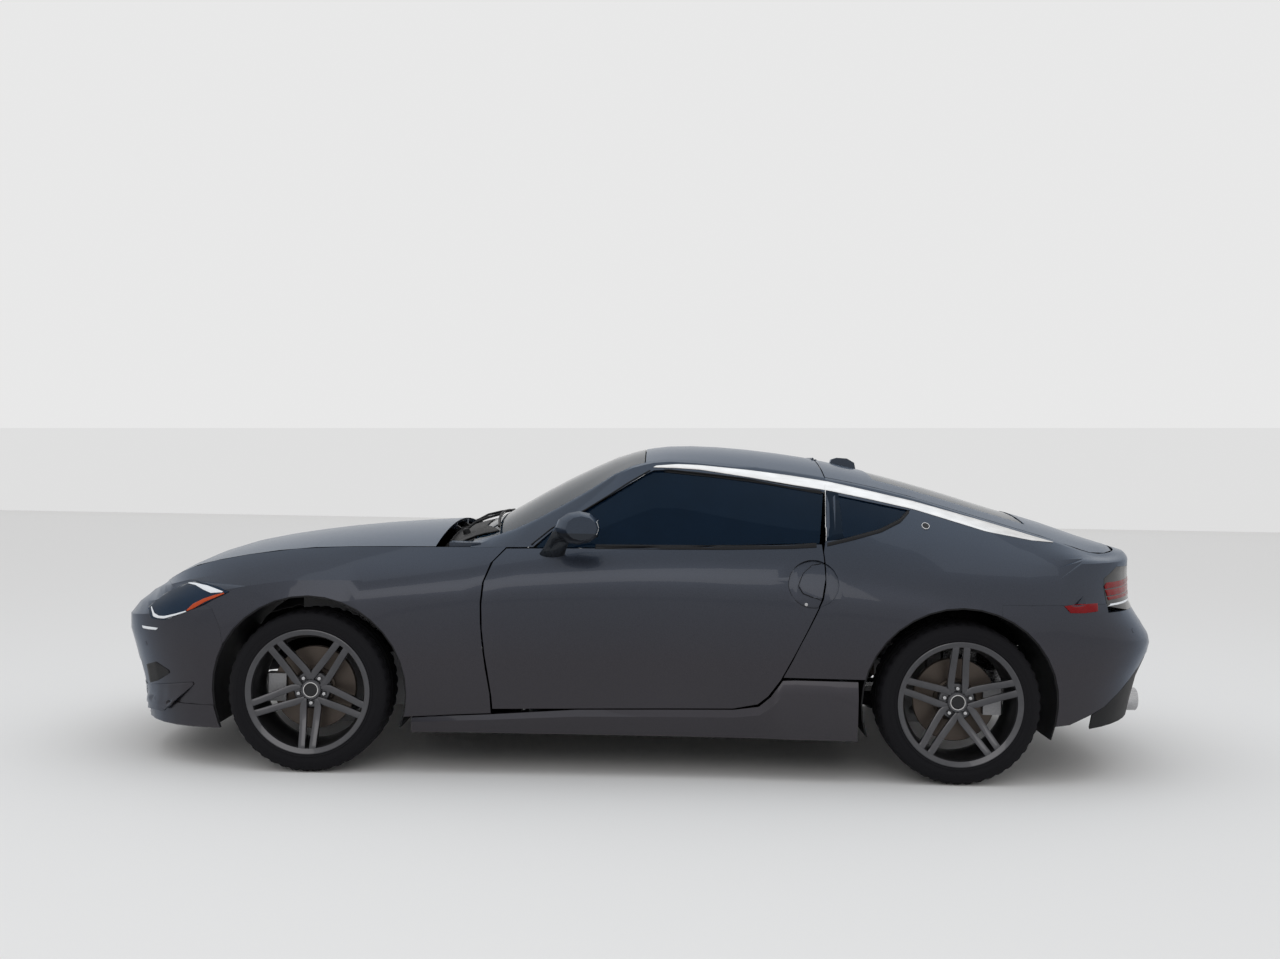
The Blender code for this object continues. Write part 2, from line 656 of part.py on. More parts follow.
def offset_grid(points, wall, inward, taper=0.0):
    """The grid moved by its wall along its normals, to the side of the point inward, edges drawn in by taper."""
    normal = grid_normals(points)
    middle = points[points.shape[0] // 2, points.shape[1] // 2]
    centre = normal[points.shape[0] // 2, points.shape[1] // 2]
    if np.dot(centre, np.asarray(inward) - middle) < 0:
        normal = -normal
    inner = points + normal * wall
    if taper:
        for axis in (0, 1):
            inner = np.swapaxes(inner, 0, axis)
            for edge, near in ((0, 1), (-1, -2)):
                step = inner[near] - inner[edge]
                size = np.linalg.norm(step, axis=-1, keepdims=True)
                inner[edge] += step * np.minimum(taper / np.maximum(size, 1e-9), 0.6)
            inner = np.swapaxes(inner, 0, axis)
    return inner


def slab(name, outer, inner, mat, parent=None):
    """A closed panel between an outer and an inner grid of points."""
    rows, cols = outer.shape[:2]
    verts = np.concatenate([outer.reshape(-1, 3), inner.reshape(-1, 3)])
    back = rows * cols
    faces = []
    for i in range(rows - 1):
        for j in range(cols - 1):
            a, b, c, d = i * cols + j, i * cols + j + 1, (i + 1) * cols + j + 1, (i + 1) * cols + j
            faces.append((a, b, c, d))
            faces.append((back + d, back + c, back + b, back + a))
    ring = [j for j in range(cols)]
    ring += [i * cols + cols - 1 for i in range(1, rows)]
    ring += [(rows - 1) * cols + j for j in range(cols - 2, -1, -1)]
    ring += [i * cols for i in range(rows - 2, 0, -1)]
    for a, b in zip(ring, ring[1:] + ring[:1]):
        faces.append((b, a, back + a, back + b))
    return add_mesh(name, verts, faces, mat, parent)


def loft(name, sections, mat, parent=None, closed=False):
    """A closed solid through rings of points; closed joins the last ring to the first."""
    count, size = len(sections), len(sections[0])
    verts = np.concatenate([np.asarray(section, float) for section in sections])
    faces = []
    for i in range(count if closed else count - 1):
        after = (i + 1) % count
        for j in range(size):
            k = (j + 1) % size
            faces.append((i * size + j, i * size + k, after * size + k, after * size + j))
    if not closed:
        faces.append(tuple(range(size - 1, -1, -1)))
        faces.append(tuple((count - 1) * size + j for j in range(size)))
    return add_mesh(name, verts, faces, mat, parent)


def prism(name, outline, low, high, mat, axis="Y", parent=None):
    """A closed solid that carries an outline from low to high along an axis."""
    rings = []
    for level in (low, high):
        if axis == "Y":
            rings.append([(u, level, w) for u, w in outline])
        elif axis == "Z":
            rings.append([(u, w, level) for u, w in outline])
        else:
            rings.append([(level, u, w) for u, w in outline])
    return loft(name, rings, mat, parent)


def box(name, low, high, mat, parent=None):
    """A box between two corners."""
    outline = [(low[0], low[2]), (high[0], low[2]), (high[0], high[2]), (low[0], high[2])]
    return prism(name, outline, low[1], high[1], mat, "Y", parent)


def turned(name, profile, centre, mat, steps, side=1, parent=None, closed=True):
    """A solid turned about Y. Profile rows: radius, distance from the centre towards the outside."""
    sections = []
    for k in range(steps):
        angle = 2 * math.pi * k / steps
        sections.append([(centre[0] + radius * math.cos(angle), centre[1] + side * reach,
                          centre[2] + radius * math.sin(angle)) for radius, reach in profile])
    if closed:
        return loft(name, sections, mat, parent, closed=True)
    rings = []
    for radius, reach in profile:
        rings.append([(centre[0] + radius * math.cos(2 * math.pi * k / steps), centre[1] + side * reach,
                       centre[2] + radius * math.sin(2 * math.pi * k / steps)) for k in range(steps)])
    return loft(name, rings, mat, parent)


def tube(name, start, end, radius, mat, steps=10, parent=None):
    """A round bar between two points."""
    start, end = Vector(start), Vector(end)
    along = (end - start).normalized()
    across = along.orthogonal().normalized()
    other = along.cross(across)
    rings = [[tuple(place + (across * math.cos(a) + other * math.sin(a)) * radius)
              for a in (2 * math.pi * k / steps for k in range(steps))] for place in (start, end)]
    return loft(name, rings, mat, parent)


def boolean(target, tool, operation):
    """Cuts, joins or keeps the common part of a solid with a tool, which isn't a piece itself."""
    change = target.modifiers.new(tool.name, "BOOLEAN")
    change.operation = operation
    change.solver = "EXACT"
    change.object = tool
    tool.hide_render = True
    tool.display_type = "WIRE"
    nodes.pop(tool.name, None)


def cut(target, *tools):
    for tool in tools:
        boolean(target, tool, "DIFFERENCE")


def join(target, *tools):
    for tool in tools:
        boolean(target, tool, "UNION")


def outline_points(shares):
    """An outline in side view, from shares."""
    return [(u * half_length, w * HEIGHT) for u, w in shares]


def grown(outline, distance):
    """An outline moved outwards by a distance, or inwards by a negative one."""
    points = [Vector(p) for p in outline]
    area = sum(a.x * b.y - b.x * a.y for a, b in zip(points, points[1:] + points[:1]))
    turn = 1 if area > 0 else -1
    out = []
    for i, point in enumerate(points):
        before = (point - points[i - 1]).normalized()
        after = (points[(i + 1) % len(points)] - point).normalized()
        normal = Vector((before.y + after.y, -before.x - after.x)).normalized()
        shrink = max(0.5, normal.dot(Vector((before.y, -before.x))))
        out.append(tuple(point + normal * turn * distance / shrink))
    return out


# Cutters that several panels share
def wheel_centre(end, side):
    """Centre of a wheel; end is -1 at the front and 1 at the rear."""
    return (end * axle, side * wheel_y, TYRE_RADIUS)


def arch_cutter(end, side, radius, tag):
    """A round cutter for a wheel arch, from inboard of the wheel to outside the body."""
    centre = wheel_centre(end, side)
    outline = [(centre[0] + radius * math.cos(a), centre[2] + ARCH_RISE + radius * math.sin(a))
               for a in (2 * math.pi * k / ARCH_STEPS for k in range(ARCH_STEPS))]
    near, far = side * WELL_INNER_Y, side * (half_width + OVERRUN)
    return prism(f"arch_{tag}", outline, min(near, far), max(near, far), BLACK)


def g_between(shares, r, shift):
    """Place along the car, at height r, of a seam that meets line i at shares[i], moved along x by shift."""
    places = [line_g(name, share * half_length + shift) for name, share in zip(LINE_NAMES, shares)]
    return np.interp(r, range(len(places)), places)


def seam_g(shares, r, shift):
    """Place along the car, at height r, of an outline in side view, moved along x by shift."""
    g = line_g("belt", shares[0][0] * half_length)
    for _ in range(SEAM_ROUNDS):
        g = line_g("belt", curve_x(shares, skin_point(g, r)[2]) + shift)
    return g


def r_at(g, z):
    """Height r of the skin at place g and height z."""
    levels = np.linspace(0, len(LINE_NAMES), LEVEL_SAMPLES)
    g, z = np.broadcast_arrays(np.asarray(g, float), np.asarray(z, float))
    out = np.zeros(g.shape)
    for index in np.ndindex(g.shape):
        out[index] = np.interp(z[index], skin_point(g[index], levels)[:, 2], levels)
    return out


def around(g, r):
    """The skin right across the nose or the tail: negative g is the left side."""
    points = skin_point(np.abs(g), r)
    points[..., 1] *= np.sign(g) + (g == 0)
    return points


def around_tail(g, r):
    """The skin right across the tail: g runs past 5 onto the left side."""
    last = REAR + 1
    points = skin_point(np.where(g > last, 2 * last - g, g), r)
    points[..., 1] *= np.where(g > last, -1, 1)
    return points


SIDES = (("left", -1), ("right", 1))
ENDS = (("front", -1), ("rear", 1))
belt_r = len(LINE_NAMES) - 1
rail_r = len(LINE_NAMES)
tail_g = REAR + 1
door_inner_y = half_width - DOOR_DEPTH
well_face_y = WELL_INNER_Y - SEAT_GAP


def side_reach(side, near, far):
    """The two ends, low first, of a span across the car on one side."""
    return sorted((side * near, side * far))


def side_box(name, side, low, high, mat, parent=None):
    """A box on one side of the car, from corners given for the right side."""
    near, far = side_reach(side, low[1], high[1])
    return box(name, (low[0], near, low[2]), (high[0], far, high[2]), mat, parent)


def side_prism(name, side, outline, near, far, mat, parent=None):
    """A prism across the car on one side, from an outline in side view."""
    return prism(name, outline, *side_reach(side, near, far), mat, "Y", parent)


def plan_prism(name, side, outline, low, high, mat, parent=None):
    """A standing prism on one side, from an outline in plan given for the right side."""
    return prism(name, [(x, side * y) for x, y in outline], low, high, mat, "Z", parent)


# Fenders: from the bumper's seam to the door, cut by the wheel arch and the headlamp
headlamp_outline = outline_points(HEADLAMP_SHARES)
lamp_inner_y = LAMP_INNER_SHARE * half_width
fender_levels = np.linspace(0, belt_r, FENDER_ROWS)
inboard = (-axle, 0, HEIGHT / 3)
for tag, side in SIDES:
    grid = []
    for r in fender_levels:
        g_front = g_between(FENDER_SEAM_SHARES, r, PANEL_SEAM)
        g_rear = seam_g(DOOR_FRONT_SHARES, r, -SHUT_GAP - FENDER_RELIEF)
        grid.append(skin_point(np.linspace(g_front, g_rear, FENDER_COLUMNS), r))
    outer = mirrored(grid, side)
    fender = slab(f"fender_{tag}", outer, offset_grid(outer, SKIN, inboard, LID_EDGE), PAINT)
    cut(fender, arch_cutter(-1, side, ARCH_RADIUS, f"fender_{tag}"),
        side_prism(f"lamp_fender_{tag}", side, grown(headlamp_outline, SEAT_GAP), lamp_inner_y,
                   half_width + OVERRUN, BLACK))
    grid = []
    for r in np.linspace(LAMP_LOW_R, LAMP_HIGH_R, LAMP_ROWS):
        g_low = line_g("swell", LAMP_NOSE_SHARE * half_length)
        g_high = line_g("swell", LAMP_TAIL_SHARE * half_length)
        grid.append(skin_point(np.linspace(g_low, g_high, LAMP_COLUMNS), r))
    outer = mirrored(grid, side)
    lamp = slab(f"headlamp_{tag}", outer, offset_grid(outer, LAMP_DEPTH, inboard), LAMP_CLEAR)
    keep = side_prism(f"lamp_keep_{tag}", side, grown(headlamp_outline, -SEAT_GAP), lamp_inner_y,
                      half_width + OVERRUN, BLACK)
    boolean(lamp, keep, "INTERSECT")

# Front bumper: right across the nose, with the mouth and the lip under it
grid = []
for r in fender_levels:
    g_seam = g_between(FENDER_SEAM_SHARES, r, 0.0)
    grid.append(around(np.linspace(-g_seam, g_seam, BUMPER_COLUMNS), r))
outer = np.array(grid)
bumper = slab("front_bumper", outer, offset_grid(outer, SKIN, inboard, LID_EDGE / 2), PAINT)
mouth = [(u * half_width, w * HEIGHT) for u, w in MOUTH_SHARES]
mouth_tool = prism("mouth", mouth, -half_length - OVERRUN, -axle - TYRE_RADIUS, BLACK, axis="X")
rings = []
for g in np.linspace(-LIP_END, LIP_END, LIP_COLUMNS):
    step = around(g + LIP_STEP, 0) - around(g - LIP_STEP, 0)
    out = np.array((-step[1], step[0], 0)) / np.hypot(step[0], step[1])
    fade = 1 - LIP_FADE * abs(g / LIP_END) ** 4
    rings.append([around(g, r) - out * LIP_REACH * reach * fade - np.array((0, 0, LIP_DROP * drop))
                  for r, reach, drop in LIP_SHARES])
cut(bumper, mouth_tool)
join(bumper, loft("front_lip", rings, PAINT))
for tag, side in SIDES:
    cut(bumper, arch_cutter(-1, side, ARCH_RADIUS, f"bumper_{tag}"),
        side_prism(f"lamp_bumper_{tag}", side, grown(headlamp_outline, PANEL_SEAM), lamp_inner_y,
                   half_width + OVERRUN, BLACK))

# Grille: a bowed plate in the mouth, cut into slanted slats between ribs
grid = [around(np.linspace(-GRILLE_END, GRILLE_END, GRILLE_COLUMNS), r)
        for r in np.linspace(GRILLE_LOW_R, GRILLE_HIGH_R, GRILLE_ROWS)]
face = np.array(grid)
near_face = offset_grid(face, GRILLE_INSET, inboard)
far_face = offset_grid(face, GRILLE_INSET + GRILLE_DEPTH, inboard)
grille = slab("grille", near_face, far_face, BLACK)
boolean(grille, prism("grille_keep", grown(mouth, -SEAT_GAP), -half_length - OVERRUN, -axle, BLACK, axis="X"),
        "INTERSECT")
nose_x, back_x = -half_length - OVERRUN, -half_length + GRILLE_REACH
for k, (z_share, y_share) in enumerate(GRILLE_SLOT_SHARES):
    low = z_share * HEIGHT
    wide = y_share * half_width
    slot = [(nose_x, low), (back_x, low + GRILLE_SLANT), (back_x, low + GRILLE_SLANT + GRILLE_SLOT),
            (nose_x, low + GRILLE_SLOT)]
    bays = np.linspace(-wide, wide, GRILLE_BAYS + 1)
    for n, (y_low, y_high) in enumerate(zip(bays[:-1], bays[1:])):
        cut(grille, prism(f"slot_{k}_{n}", slot, y_low + GRILLE_RIB / 2, y_high - GRILLE_RIB / 2, BLACK))


# Hood, with two lugs on its hinge
def lid_grid(point, stations, cols, edge_gap):
    """A grid over the top of the car at some x, kept edge_gap inside the two edges."""
    shares = np.linspace(-1, 1, cols)
    grid = []
    for x in stations:
        edge = point(x, 1.0)[1]
        grid.append(point(x, shares * (edge - edge_gap) / edge))
    return np.array(grid)


hood_front = LINE_SHARES["belt"][0] * half_length + SHUT_GAP
hood_rear = HOOD_REAR_SHARE * half_length
hood_axis = (hood_rear - HINGE_SET, 0, float(hood_point(hood_rear, 0)[2]) - HOOD_HINGE_DROP)
hood_hinge = joint_empty("hood_hinge", hood_axis)
shares = np.linspace(-1, 1, HOOD_COLUMNS)
grid = []
for along in np.linspace(0, 1, HOOD_ROWS):
    x = hood_front + (hood_rear - hood_front) * along ** HOOD_CROWD
    edge = hood_point(x, 1.0)[1]
    grid.append(hood_point(x, shares * (edge - SHUT_GAP * (HOOD_NOSE_EASE + along / 2)) / edge))
outer = np.array(grid)
hood = slab("hood", outer, offset_grid(outer, LID_WALL, (-axle, 0, 0), LID_EDGE), PAINT, hood_hinge)
for tag, side in SIDES:
    join(hood, side_box(f"hood_lug_{tag}", side,
                        (hood_axis[0] - HINGE_RADIUS, LID_HINGE_Y + HINGE_SPAN + SEAT_GAP, hood_axis[2] - HINGE_RADIUS),
                        (hood_axis[0] + HINGE_RADIUS, LID_HINGE_Y + 2 * HINGE_SPAN,
                         hood_axis[2] + HOOD_HINGE_DROP - LID_WALL + HINGE_GAUGE), PAINT, hood_hinge))


def handle_recess(tag, side, leaf, parent=None):
    """A cutter for the shallow bowl behind the door handle, with or without the handle's leaf left in it."""
    middle_x, middle_z, half_x, half_z = HANDLE_SHARES
    x = (middle_x + half_x * 2 * np.linspace(-1, 1, BOWL_ROWS)) * half_length
    z = (middle_z + half_z * 2 * np.linspace(-1, 1, BOWL_ROWS)) * HEIGHT
    grid = np.array([[(u, float(side_y(u, w)), w) for u in x] for w in z])
    low, high = grid.copy(), grid.copy()
    low[..., 1] -= HANDLE_DEPTH
    high[..., 1] += OVERRUN
    tool = slab(f"bowl_{tag}", mirrored(high, side), mirrored(low, side), BLACK, parent)
    round_outline = [((middle_x + half_x * math.cos(a)) * half_length, (middle_z + half_z * math.sin(a)) * HEIGHT)
                     for a in (2 * math.pi * k / BOWL_STEPS for k in range(BOWL_STEPS))]
    boolean(tool, side_prism(f"bowl_round_{tag}", side, round_outline, door_inner_y, half_width + OVERRUN * 3,
                             BLACK, parent), "INTERSECT")
    if leaf:
        cut(tool, side_prism(f"bowl_leaf_{tag}", side, outline_points(HANDLE_LEAF_SHARES), door_inner_y,
                             half_width + OVERRUN * 3, BLACK, parent))
    return tool


# Doors, with pockets for the hinge arms
door_hinges = {}
door_axis_x = DOOR_AXIS_SHARE * half_length
door_columns = np.linspace(0, 1, DOOR_COLUMNS)
hinge_levels = [share * HEIGHT for share in HINGE_LEVEL_SHARES]
for tag, side in SIDES:
    hinge = joint_empty(f"door_hinge_{tag}", (door_axis_x, side * DOOR_AXIS_Y, HEIGHT / 2))
    door_hinges[tag] = hinge
    grid, back = [], []
    for share in DOOR_LEVEL_SHARES:
        row, row_back = [], []
        for along in door_columns:
            low = pchip((0, 1), (DOOR_FRONT_SHARES[0][1] * HEIGHT, DOOR_REAR_SHARES[0][1] * HEIGHT), along)
            foot_x = (DOOR_FRONT_SHARES[0][0] + along * DOOR_SPAN_SHARE) * half_length
            belt = line_point("belt", line_g("belt", foot_x))[2]
            z = low + (belt - SHUT_GAP - low) * share
            front = curve_x(DOOR_FRONT_SHARES, z)
            rear = curve_x(DOOR_REAR_SHARES, z) - SHUT_GAP
            x = front + (rear - front) * along
            row.append((x, side_y(x, z), z))
            row_back.append((x + DOOR_STEP * 3 * (1 - along) ** 6 - DOOR_STEP * along**6, door_inner_y,
                             z + DOOR_STEP * (1 - share)))
        grid.append(row)
        back.append(row_back)
    door = slab(f"door_{tag}", mirrored(grid, side), mirrored(back, side), PAINT, hinge)
    cut(door, handle_recess(f"door_{tag}", side, True, hinge))
    pocket = [(door_axis_x - POCKET_AHEAD, DOOR_AXIS_Y - POCKET_DEPTH),
              (door_axis_x + POCKET_BEHIND, DOOR_AXIS_Y - POCKET_DEPTH),
              (door_axis_x + POCKET_BEHIND, DOOR_AXIS_Y + HINGE_RADIUS + SHUT_GAP),
              (door_axis_x - POCKET_AHEAD, DOOR_AXIS_Y + HINGE_RADIUS + SHUT_GAP)]
    half = HINGE_HEIGHT / 2 + SEAT_GAP
    for n, level in enumerate(hinge_levels):
        cut(door, plan_prism(f"pocket_{tag}_{n}", side, pocket, level - half, level + half, BLACK, hinge))


def side_glass_point(x, z):
    """The side glass surface between belt and rail."""
    belt = line_point("belt", line_g("belt", x))
    rail = rail_point(x)
    t = (z - belt[2]) / (rail[2] - belt[2])
    y = belt[1] * (1 - t) + rail[1] * t + SIDE_GLASS_BOW * 4 * t * (1 - t)
    return np.array((x, y, z))


glass_top_x = [share[0] * half_length for share in GLASS_TOP_SHARES]
glass_top_z = [share[1] * HEIGHT for share in GLASS_TOP_SHARES]
inset = np.array((0, GLASS_INSET, 0))
for tag, side in SIDES:
    grid = []
    for share in np.linspace(0, 1, DOOR_GLASS_ROWS):
        row = []
        for along in np.linspace(0, 1, DOOR_GLASS_COLUMNS):
            foot_x = (DOOR_GLASS_FRONT_SHARES[0][0] + along * GLASS_SPAN_SHARE) * half_length
            low = line_point("belt", line_g("belt", foot_x))[2] - GLASS_FOOT_DROP
            head_x = (GLASS_TOP_SHARES[0][0] + (DOOR_GLASS_REAR_SHARES[-1][0] - GLASS_TOP_SHARES[0][0]) * along)
            top = pchip(glass_top_x, glass_top_z, head_x * half_length) - SHUT_GAP
            z = low + (top - low) * share
            front = curve_x(DOOR_GLASS_FRONT_SHARES, z) + 2 * SHUT_GAP
            rear = curve_x(DOOR_GLASS_REAR_SHARES, z) - SHUT_GAP
            row.append(side_glass_point(front + (rear - front) * along, z) - inset)
        grid.append(row)
    outer = mirrored(grid, side)
    slab(f"door_glass_{tag}", outer, offset_grid(outer, GLASS, (0, 0, HEIGHT / 2)), GLASS_DARK,
         door_hinges[tag])


# Body sides: windscreen pillar, roof rail, quarter panel, hinge pillar and rocker in one
def opening_edge(x):
    """Lower edge of the roof rail, where the side glass begins."""
    levels = np.linspace(DOOR_GLASS_FRONT_SHARES[0][1], DOOR_GLASS_FRONT_SHARES[-1][1], OUTLINE_SAMPLES) * HEIGHT
    places = curve_x(DOOR_GLASS_FRONT_SHARES, levels)
    if x < places[0]:
        return line_point("belt", line_g("belt", x))[2] + SEAT_GAP
    if x < places[-1]:
        return float(np.interp(x, places, levels))
    return float(np.interp(x, glass_top_x, glass_top_z))


def rail_inset(g, width):
    """Point of the top of the car this far inside the rail at place g."""
    here = skin_point(g, rail_r)
    ahead, behind = skin_point(min(g + LIP_STEP, tail_g), rail_r), skin_point(g - LIP_STEP, rail_r)
    along = (ahead - behind)[:2] / np.hypot(*(ahead - behind)[:2])
    x = here[0] + along[1] * width
    y = max(here[1] - along[0] * width, SEAT_GAP)
    return roof_point(x, min(y / rail_point(x)[1], 1.0))


lid_g = np.linspace(line_g("belt", -axle / 2), tail_g, LID_SAMPLES)


def lid_edge(x, width):
    """Half width at x of a lid whose edge lies this far inside the rail."""
    edge = np.array([rail_inset(g, width)[:2] for g in lid_g])
    return np.interp(x, edge[:, 0], edge[:, 1])


top_stations = np.array(TOP_SHARES) * half_length
screen_top = SCREEN_TOP_SHARE * half_length
roof_rear = ROOF_REAR_SHARE * half_length
seam_z = BUMPER_SEAM_Z_SHARE * HEIGHT
seam_x = BUMPER_SEAM_X_SHARE * half_length
tail_outline = outline_points(TAIL_LAMP_SHARES)
lamp_x, ledge_z = tail_outline[0]
far_x = half_length + OVERRUN
top_z = HEIGHT + OVERRUN


def quarter_point(g, share):
    """Point of the quarter panel at place g: share 0 to 1 is skin, to 2 turns in over the rail."""
    if share > 1:
        return rail_inset(g, RAIL_WIDTH * (share - 1))
    low = r_at(g, SKIRT_TOP_SHARE * HEIGHT + SEAT_GAP) if g < tail_g - TAIL_TUCK else r_at(g, seam_z - OVERRUN)
    r = low + (rail_r - low) * share
    return skin_point(g, r)


pillar_front, pillar_rear = (share * half_length for share in PILLAR_SHARES)
quarter_levels = (*np.linspace(0, 1, QUARTER_ROWS), 1.5, 2.0)
quarter_places = (*np.linspace(0, 1, QUARTER_COLUMNS), *np.linspace(1, 2, TAIL_COLUMNS)[1:])
for tag, side in SIDES:
    sections = []
    for x in top_stations:
        rail = rail_point(x)
        low = side_glass_point(x, min(opening_edge(x), rail[2] - RAIL_LIP))
        edge = roof_point(x, 1 - RAIL_WIDTH / rail[1])
        ring = np.array([low, rail, edge, edge - np.array((0, 0, RAIL_WALL)), low - np.array((0, RAIL_WALL, 0))])
        if x > roof_rear + SEAT_GAP:
            ring = ring.mean(0) + (ring - ring.mean(0)) * BAR_TUCK
        sections.append(mirrored(ring, side))
    rail_bar = loft(f"body_side_{tag}", sections, PAINT)
    grid = []
    for share in quarter_levels:
        row = []
        for place in quarter_places:
            g_start = line_g("belt", DOOR_REAR_SHARES[-1][0] * half_length)
            for _ in range(SEAM_ROUNDS):
                point = quarter_point(float(g_start), share)
                shut = DOOR_REAR_SHARES if point[2] < DOOR_REAR_SHARES[-1][1] * HEIGHT else SHUT_TOP_SHARES
                g_start = line_g("belt", curve_x(shut, point[2]))
            g = g_start + (QUARTER_TURN_G - g_start) * min(place, 1) + (tail_g - QUARTER_TURN_G) * max(place - 1, 0)
            row.append(quarter_point(float(g), share))
        grid.append(row)
    grid = np.array(grid)
    grid[..., 1] = np.maximum(grid[..., 1], SEAT_GAP)
    outer = mirrored(grid, side)
    inner = offset_grid(outer, QUARTER_WALL, (axle, 0, HEIGHT / 2))
    inner[..., 1] = side * np.maximum(side * inner[..., 1], SEAT_GAP)
    quarter = slab(f"quarter_{tag}", outer, inner, PAINT)
    window = outline_points(QUARTER_WINDOW_SHARES)
    low_y, high_y = 0, half_width + OVERRUN
    bumper_side = [(seam_x, 0), (far_x, 0), (far_x, seam_z + SEAT_GAP), (seam_x, seam_z + SEAT_GAP)]
    cut(quarter, arch_cutter(1, side, ARCH_RADIUS, f"quarter_{tag}"),
        side_prism(f"window_{tag}", side, window, door_inner_y / 2, high_y, BLACK),
        side_prism(f"bumper_side_{tag}", side, bumper_side, -OVERRUN, high_y, BLACK),
        side_prism(f"lamp_hole_{tag}", side, grown(tail_outline, SEAT_GAP), -OVERRUN, high_y, BLACK),
        handle_recess(f"quarter_{tag}", side, False))
    pillar = side_box(f"pillar_{tag}", side, (pillar_front, PILLAR_NEAR, SILL_LOW_SHARE * HEIGHT + SKIN),
                      (pillar_rear, PILLAR_FAR, PILLAR_TOP_SHARE * HEIGHT), PAINT)
    rocker = side_box(f"rocker_{tag}", side, (pillar_front + SKIN, ROCKER_NEAR, SILL_LOW_SHARE * HEIGHT),
                      (ROCKER_REAR_SHARE * half_length, ROCKER_FAR, SILL_TOP_SHARE * HEIGHT), PAINT)
    join(rail_bar, quarter, pillar, rocker)
    arm_x = pillar_rear - HINGE_SPAN
    arm = [(arm_x, ARM_Y), (door_axis_x + HINGE_GAUGE, ARM_Y), (door_axis_x + HINGE_GAUGE, DOOR_AXIS_Y),
           (door_axis_x - HINGE_GAUGE, DOOR_AXIS_Y), (door_axis_x - HINGE_GAUGE, ARM_Y + HINGE_ARM),
           (arm_x, ARM_Y + HINGE_ARM)]
    barrel = [(door_axis_x + HINGE_RADIUS * math.cos(a), DOOR_AXIS_Y + HINGE_RADIUS * math.sin(a))
              for a in (2 * math.pi * k / PIN_STEPS for k in range(PIN_STEPS))]
    for n, level in enumerate(hinge_levels):
        arm_piece = plan_prism(f"hinge_arm_{tag}_{n}", side, arm, level - HINGE_SPAN / 2, level + HINGE_SPAN / 2,
                               PAINT)
        pin = plan_prism(f"hinge_pin_{tag}_{n}", side, barrel, level - HINGE_HEIGHT / 2, level + HINGE_HEIGHT / 2,
                         PAINT)
        join(rail_bar, arm_piece, pin)

    grid = [[side_glass_point(x, z) - inset for x in np.linspace(*PANE_X_SHARES, QUARTER_PANE_COLUMNS) * half_length]
            for z in np.linspace(*PANE_Z_SHARES, QUARTER_PANE_ROWS) * HEIGHT]
    outer = mirrored(grid, side)
    pane = slab(f"quarter_glass_{tag}", outer, offset_grid(outer, GLASS, (0, 0, HEIGHT / 2)), GLASS_DARK)
    boolean(pane, side_prism(f"pane_keep_{tag}", side, grown(window, -SEAT_GAP), door_inner_y / 2, high_y, BLACK),
            "INTERSECT")

# Roof, windscreen and cowl
roof_stations = [x for x in top_stations if screen_top <= x <= roof_rear + SEAT_GAP]
roof_stations[0] += SHUT_GAP
outer = lid_grid(roof_point, roof_stations, TOP_COLUMNS, RAIL_WIDTH + SEAT_GAP)
roof = slab("roof", outer, offset_grid(outer, LID_WALL, (0, 0, 0)), PAINT)
outer = lid_grid(roof_point, [x for x in top_stations if x <= screen_top + SEAT_GAP], TOP_COLUMNS,
                 RAIL_WIDTH + SEAT_GAP)
slab("windscreen", outer, offset_grid(outer, GLASS, (0, 0, 0), GLASS * 2), GLASS_DARK)
cowl_rear = COWL_REAR_SHARE * half_length - SEAT_GAP
cowl_front = hood_rear + SHUT_GAP
cowl_half = COWL_HALF_SHARE * half_width
v = np.linspace(-1, 1, TOP_COLUMNS)
low = hood_point(hood_rear, v * cowl_half / hood_point(hood_rear, 1.0)[1])[:, 2] - COWL_DEPTH
high = roof_point(cowl_rear, v * cowl_half / rail_point(cowl_rear)[1])[:, 2]
outer = np.array([[(cowl_front + (cowl_rear - cowl_front) * share, w * cowl_half, a + (b - a) * share)
                   for w, a, b in zip(v, low, high)] for share in (0, 0.4, 1.0)])
cowl = slab("cowl", outer, outer - np.array((0, 0, LID_WALL)), BLACK)
for tag, side in SIDES:
    x, z = hood_axis[0], hood_axis[2]
    ear = [(x - HINGE_GAUGE, z - HINGE_GAUGE), (x - HINGE_GAUGE, z + HINGE_GAUGE), (x + HINGE_GAUGE, z + HINGE_GAUGE),
           (cowl_front + HINGE_SPAN / 2, z - HINGE_SET), (cowl_front + HINGE_SPAN / 2, z - HINGE_SPAN),
           (x + HINGE_GAUGE, z - HINGE_SPAN)]
    join(cowl, side_prism(f"hood_ear_{tag}", side, ear, LID_HINGE_Y, LID_HINGE_Y + HINGE_SPAN, BLACK))

# Hatch, its glass, the antenna fin and the hinge on the roof's rear edge
hatch_front = roof_rear + SHUT_GAP
hatch_rear = RAIL_SHARES[-1][0] * half_length - RAIL_WIDTH - 2 * SHUT_GAP
hatch_axis = (roof_rear, 0, float(roof_point(roof_rear, 0)[2]))
hatch_hinge = joint_empty("hatch_hinge", hatch_axis)
grid = []
for along in HATCH_STATION_SHARES:
    x = hatch_front + (hatch_rear - hatch_front) * along
    edge = lid_edge(x, RAIL_WIDTH + SHUT_GAP * HATCH_EASE)
    grid.append(roof_point(x, np.linspace(-1, 1, HATCH_COLUMNS) * edge / rail_point(x)[1]))
outer = np.array(grid)
hatch = slab("hatch", outer, offset_grid(outer, LID_WALL, (axle, 0, 0), LID_EDGE * HATCH_EDGE_SHARE), PAINT, hatch_hinge)
hatch_window = [(u * half_length, w * half_width) for u, w in HATCH_WINDOW_SHARES]
window_tool = prism("hatch_window", hatch_window, 0, top_z, BLACK, axis="Z", parent=hatch_hinge)
cut(hatch, window_tool)
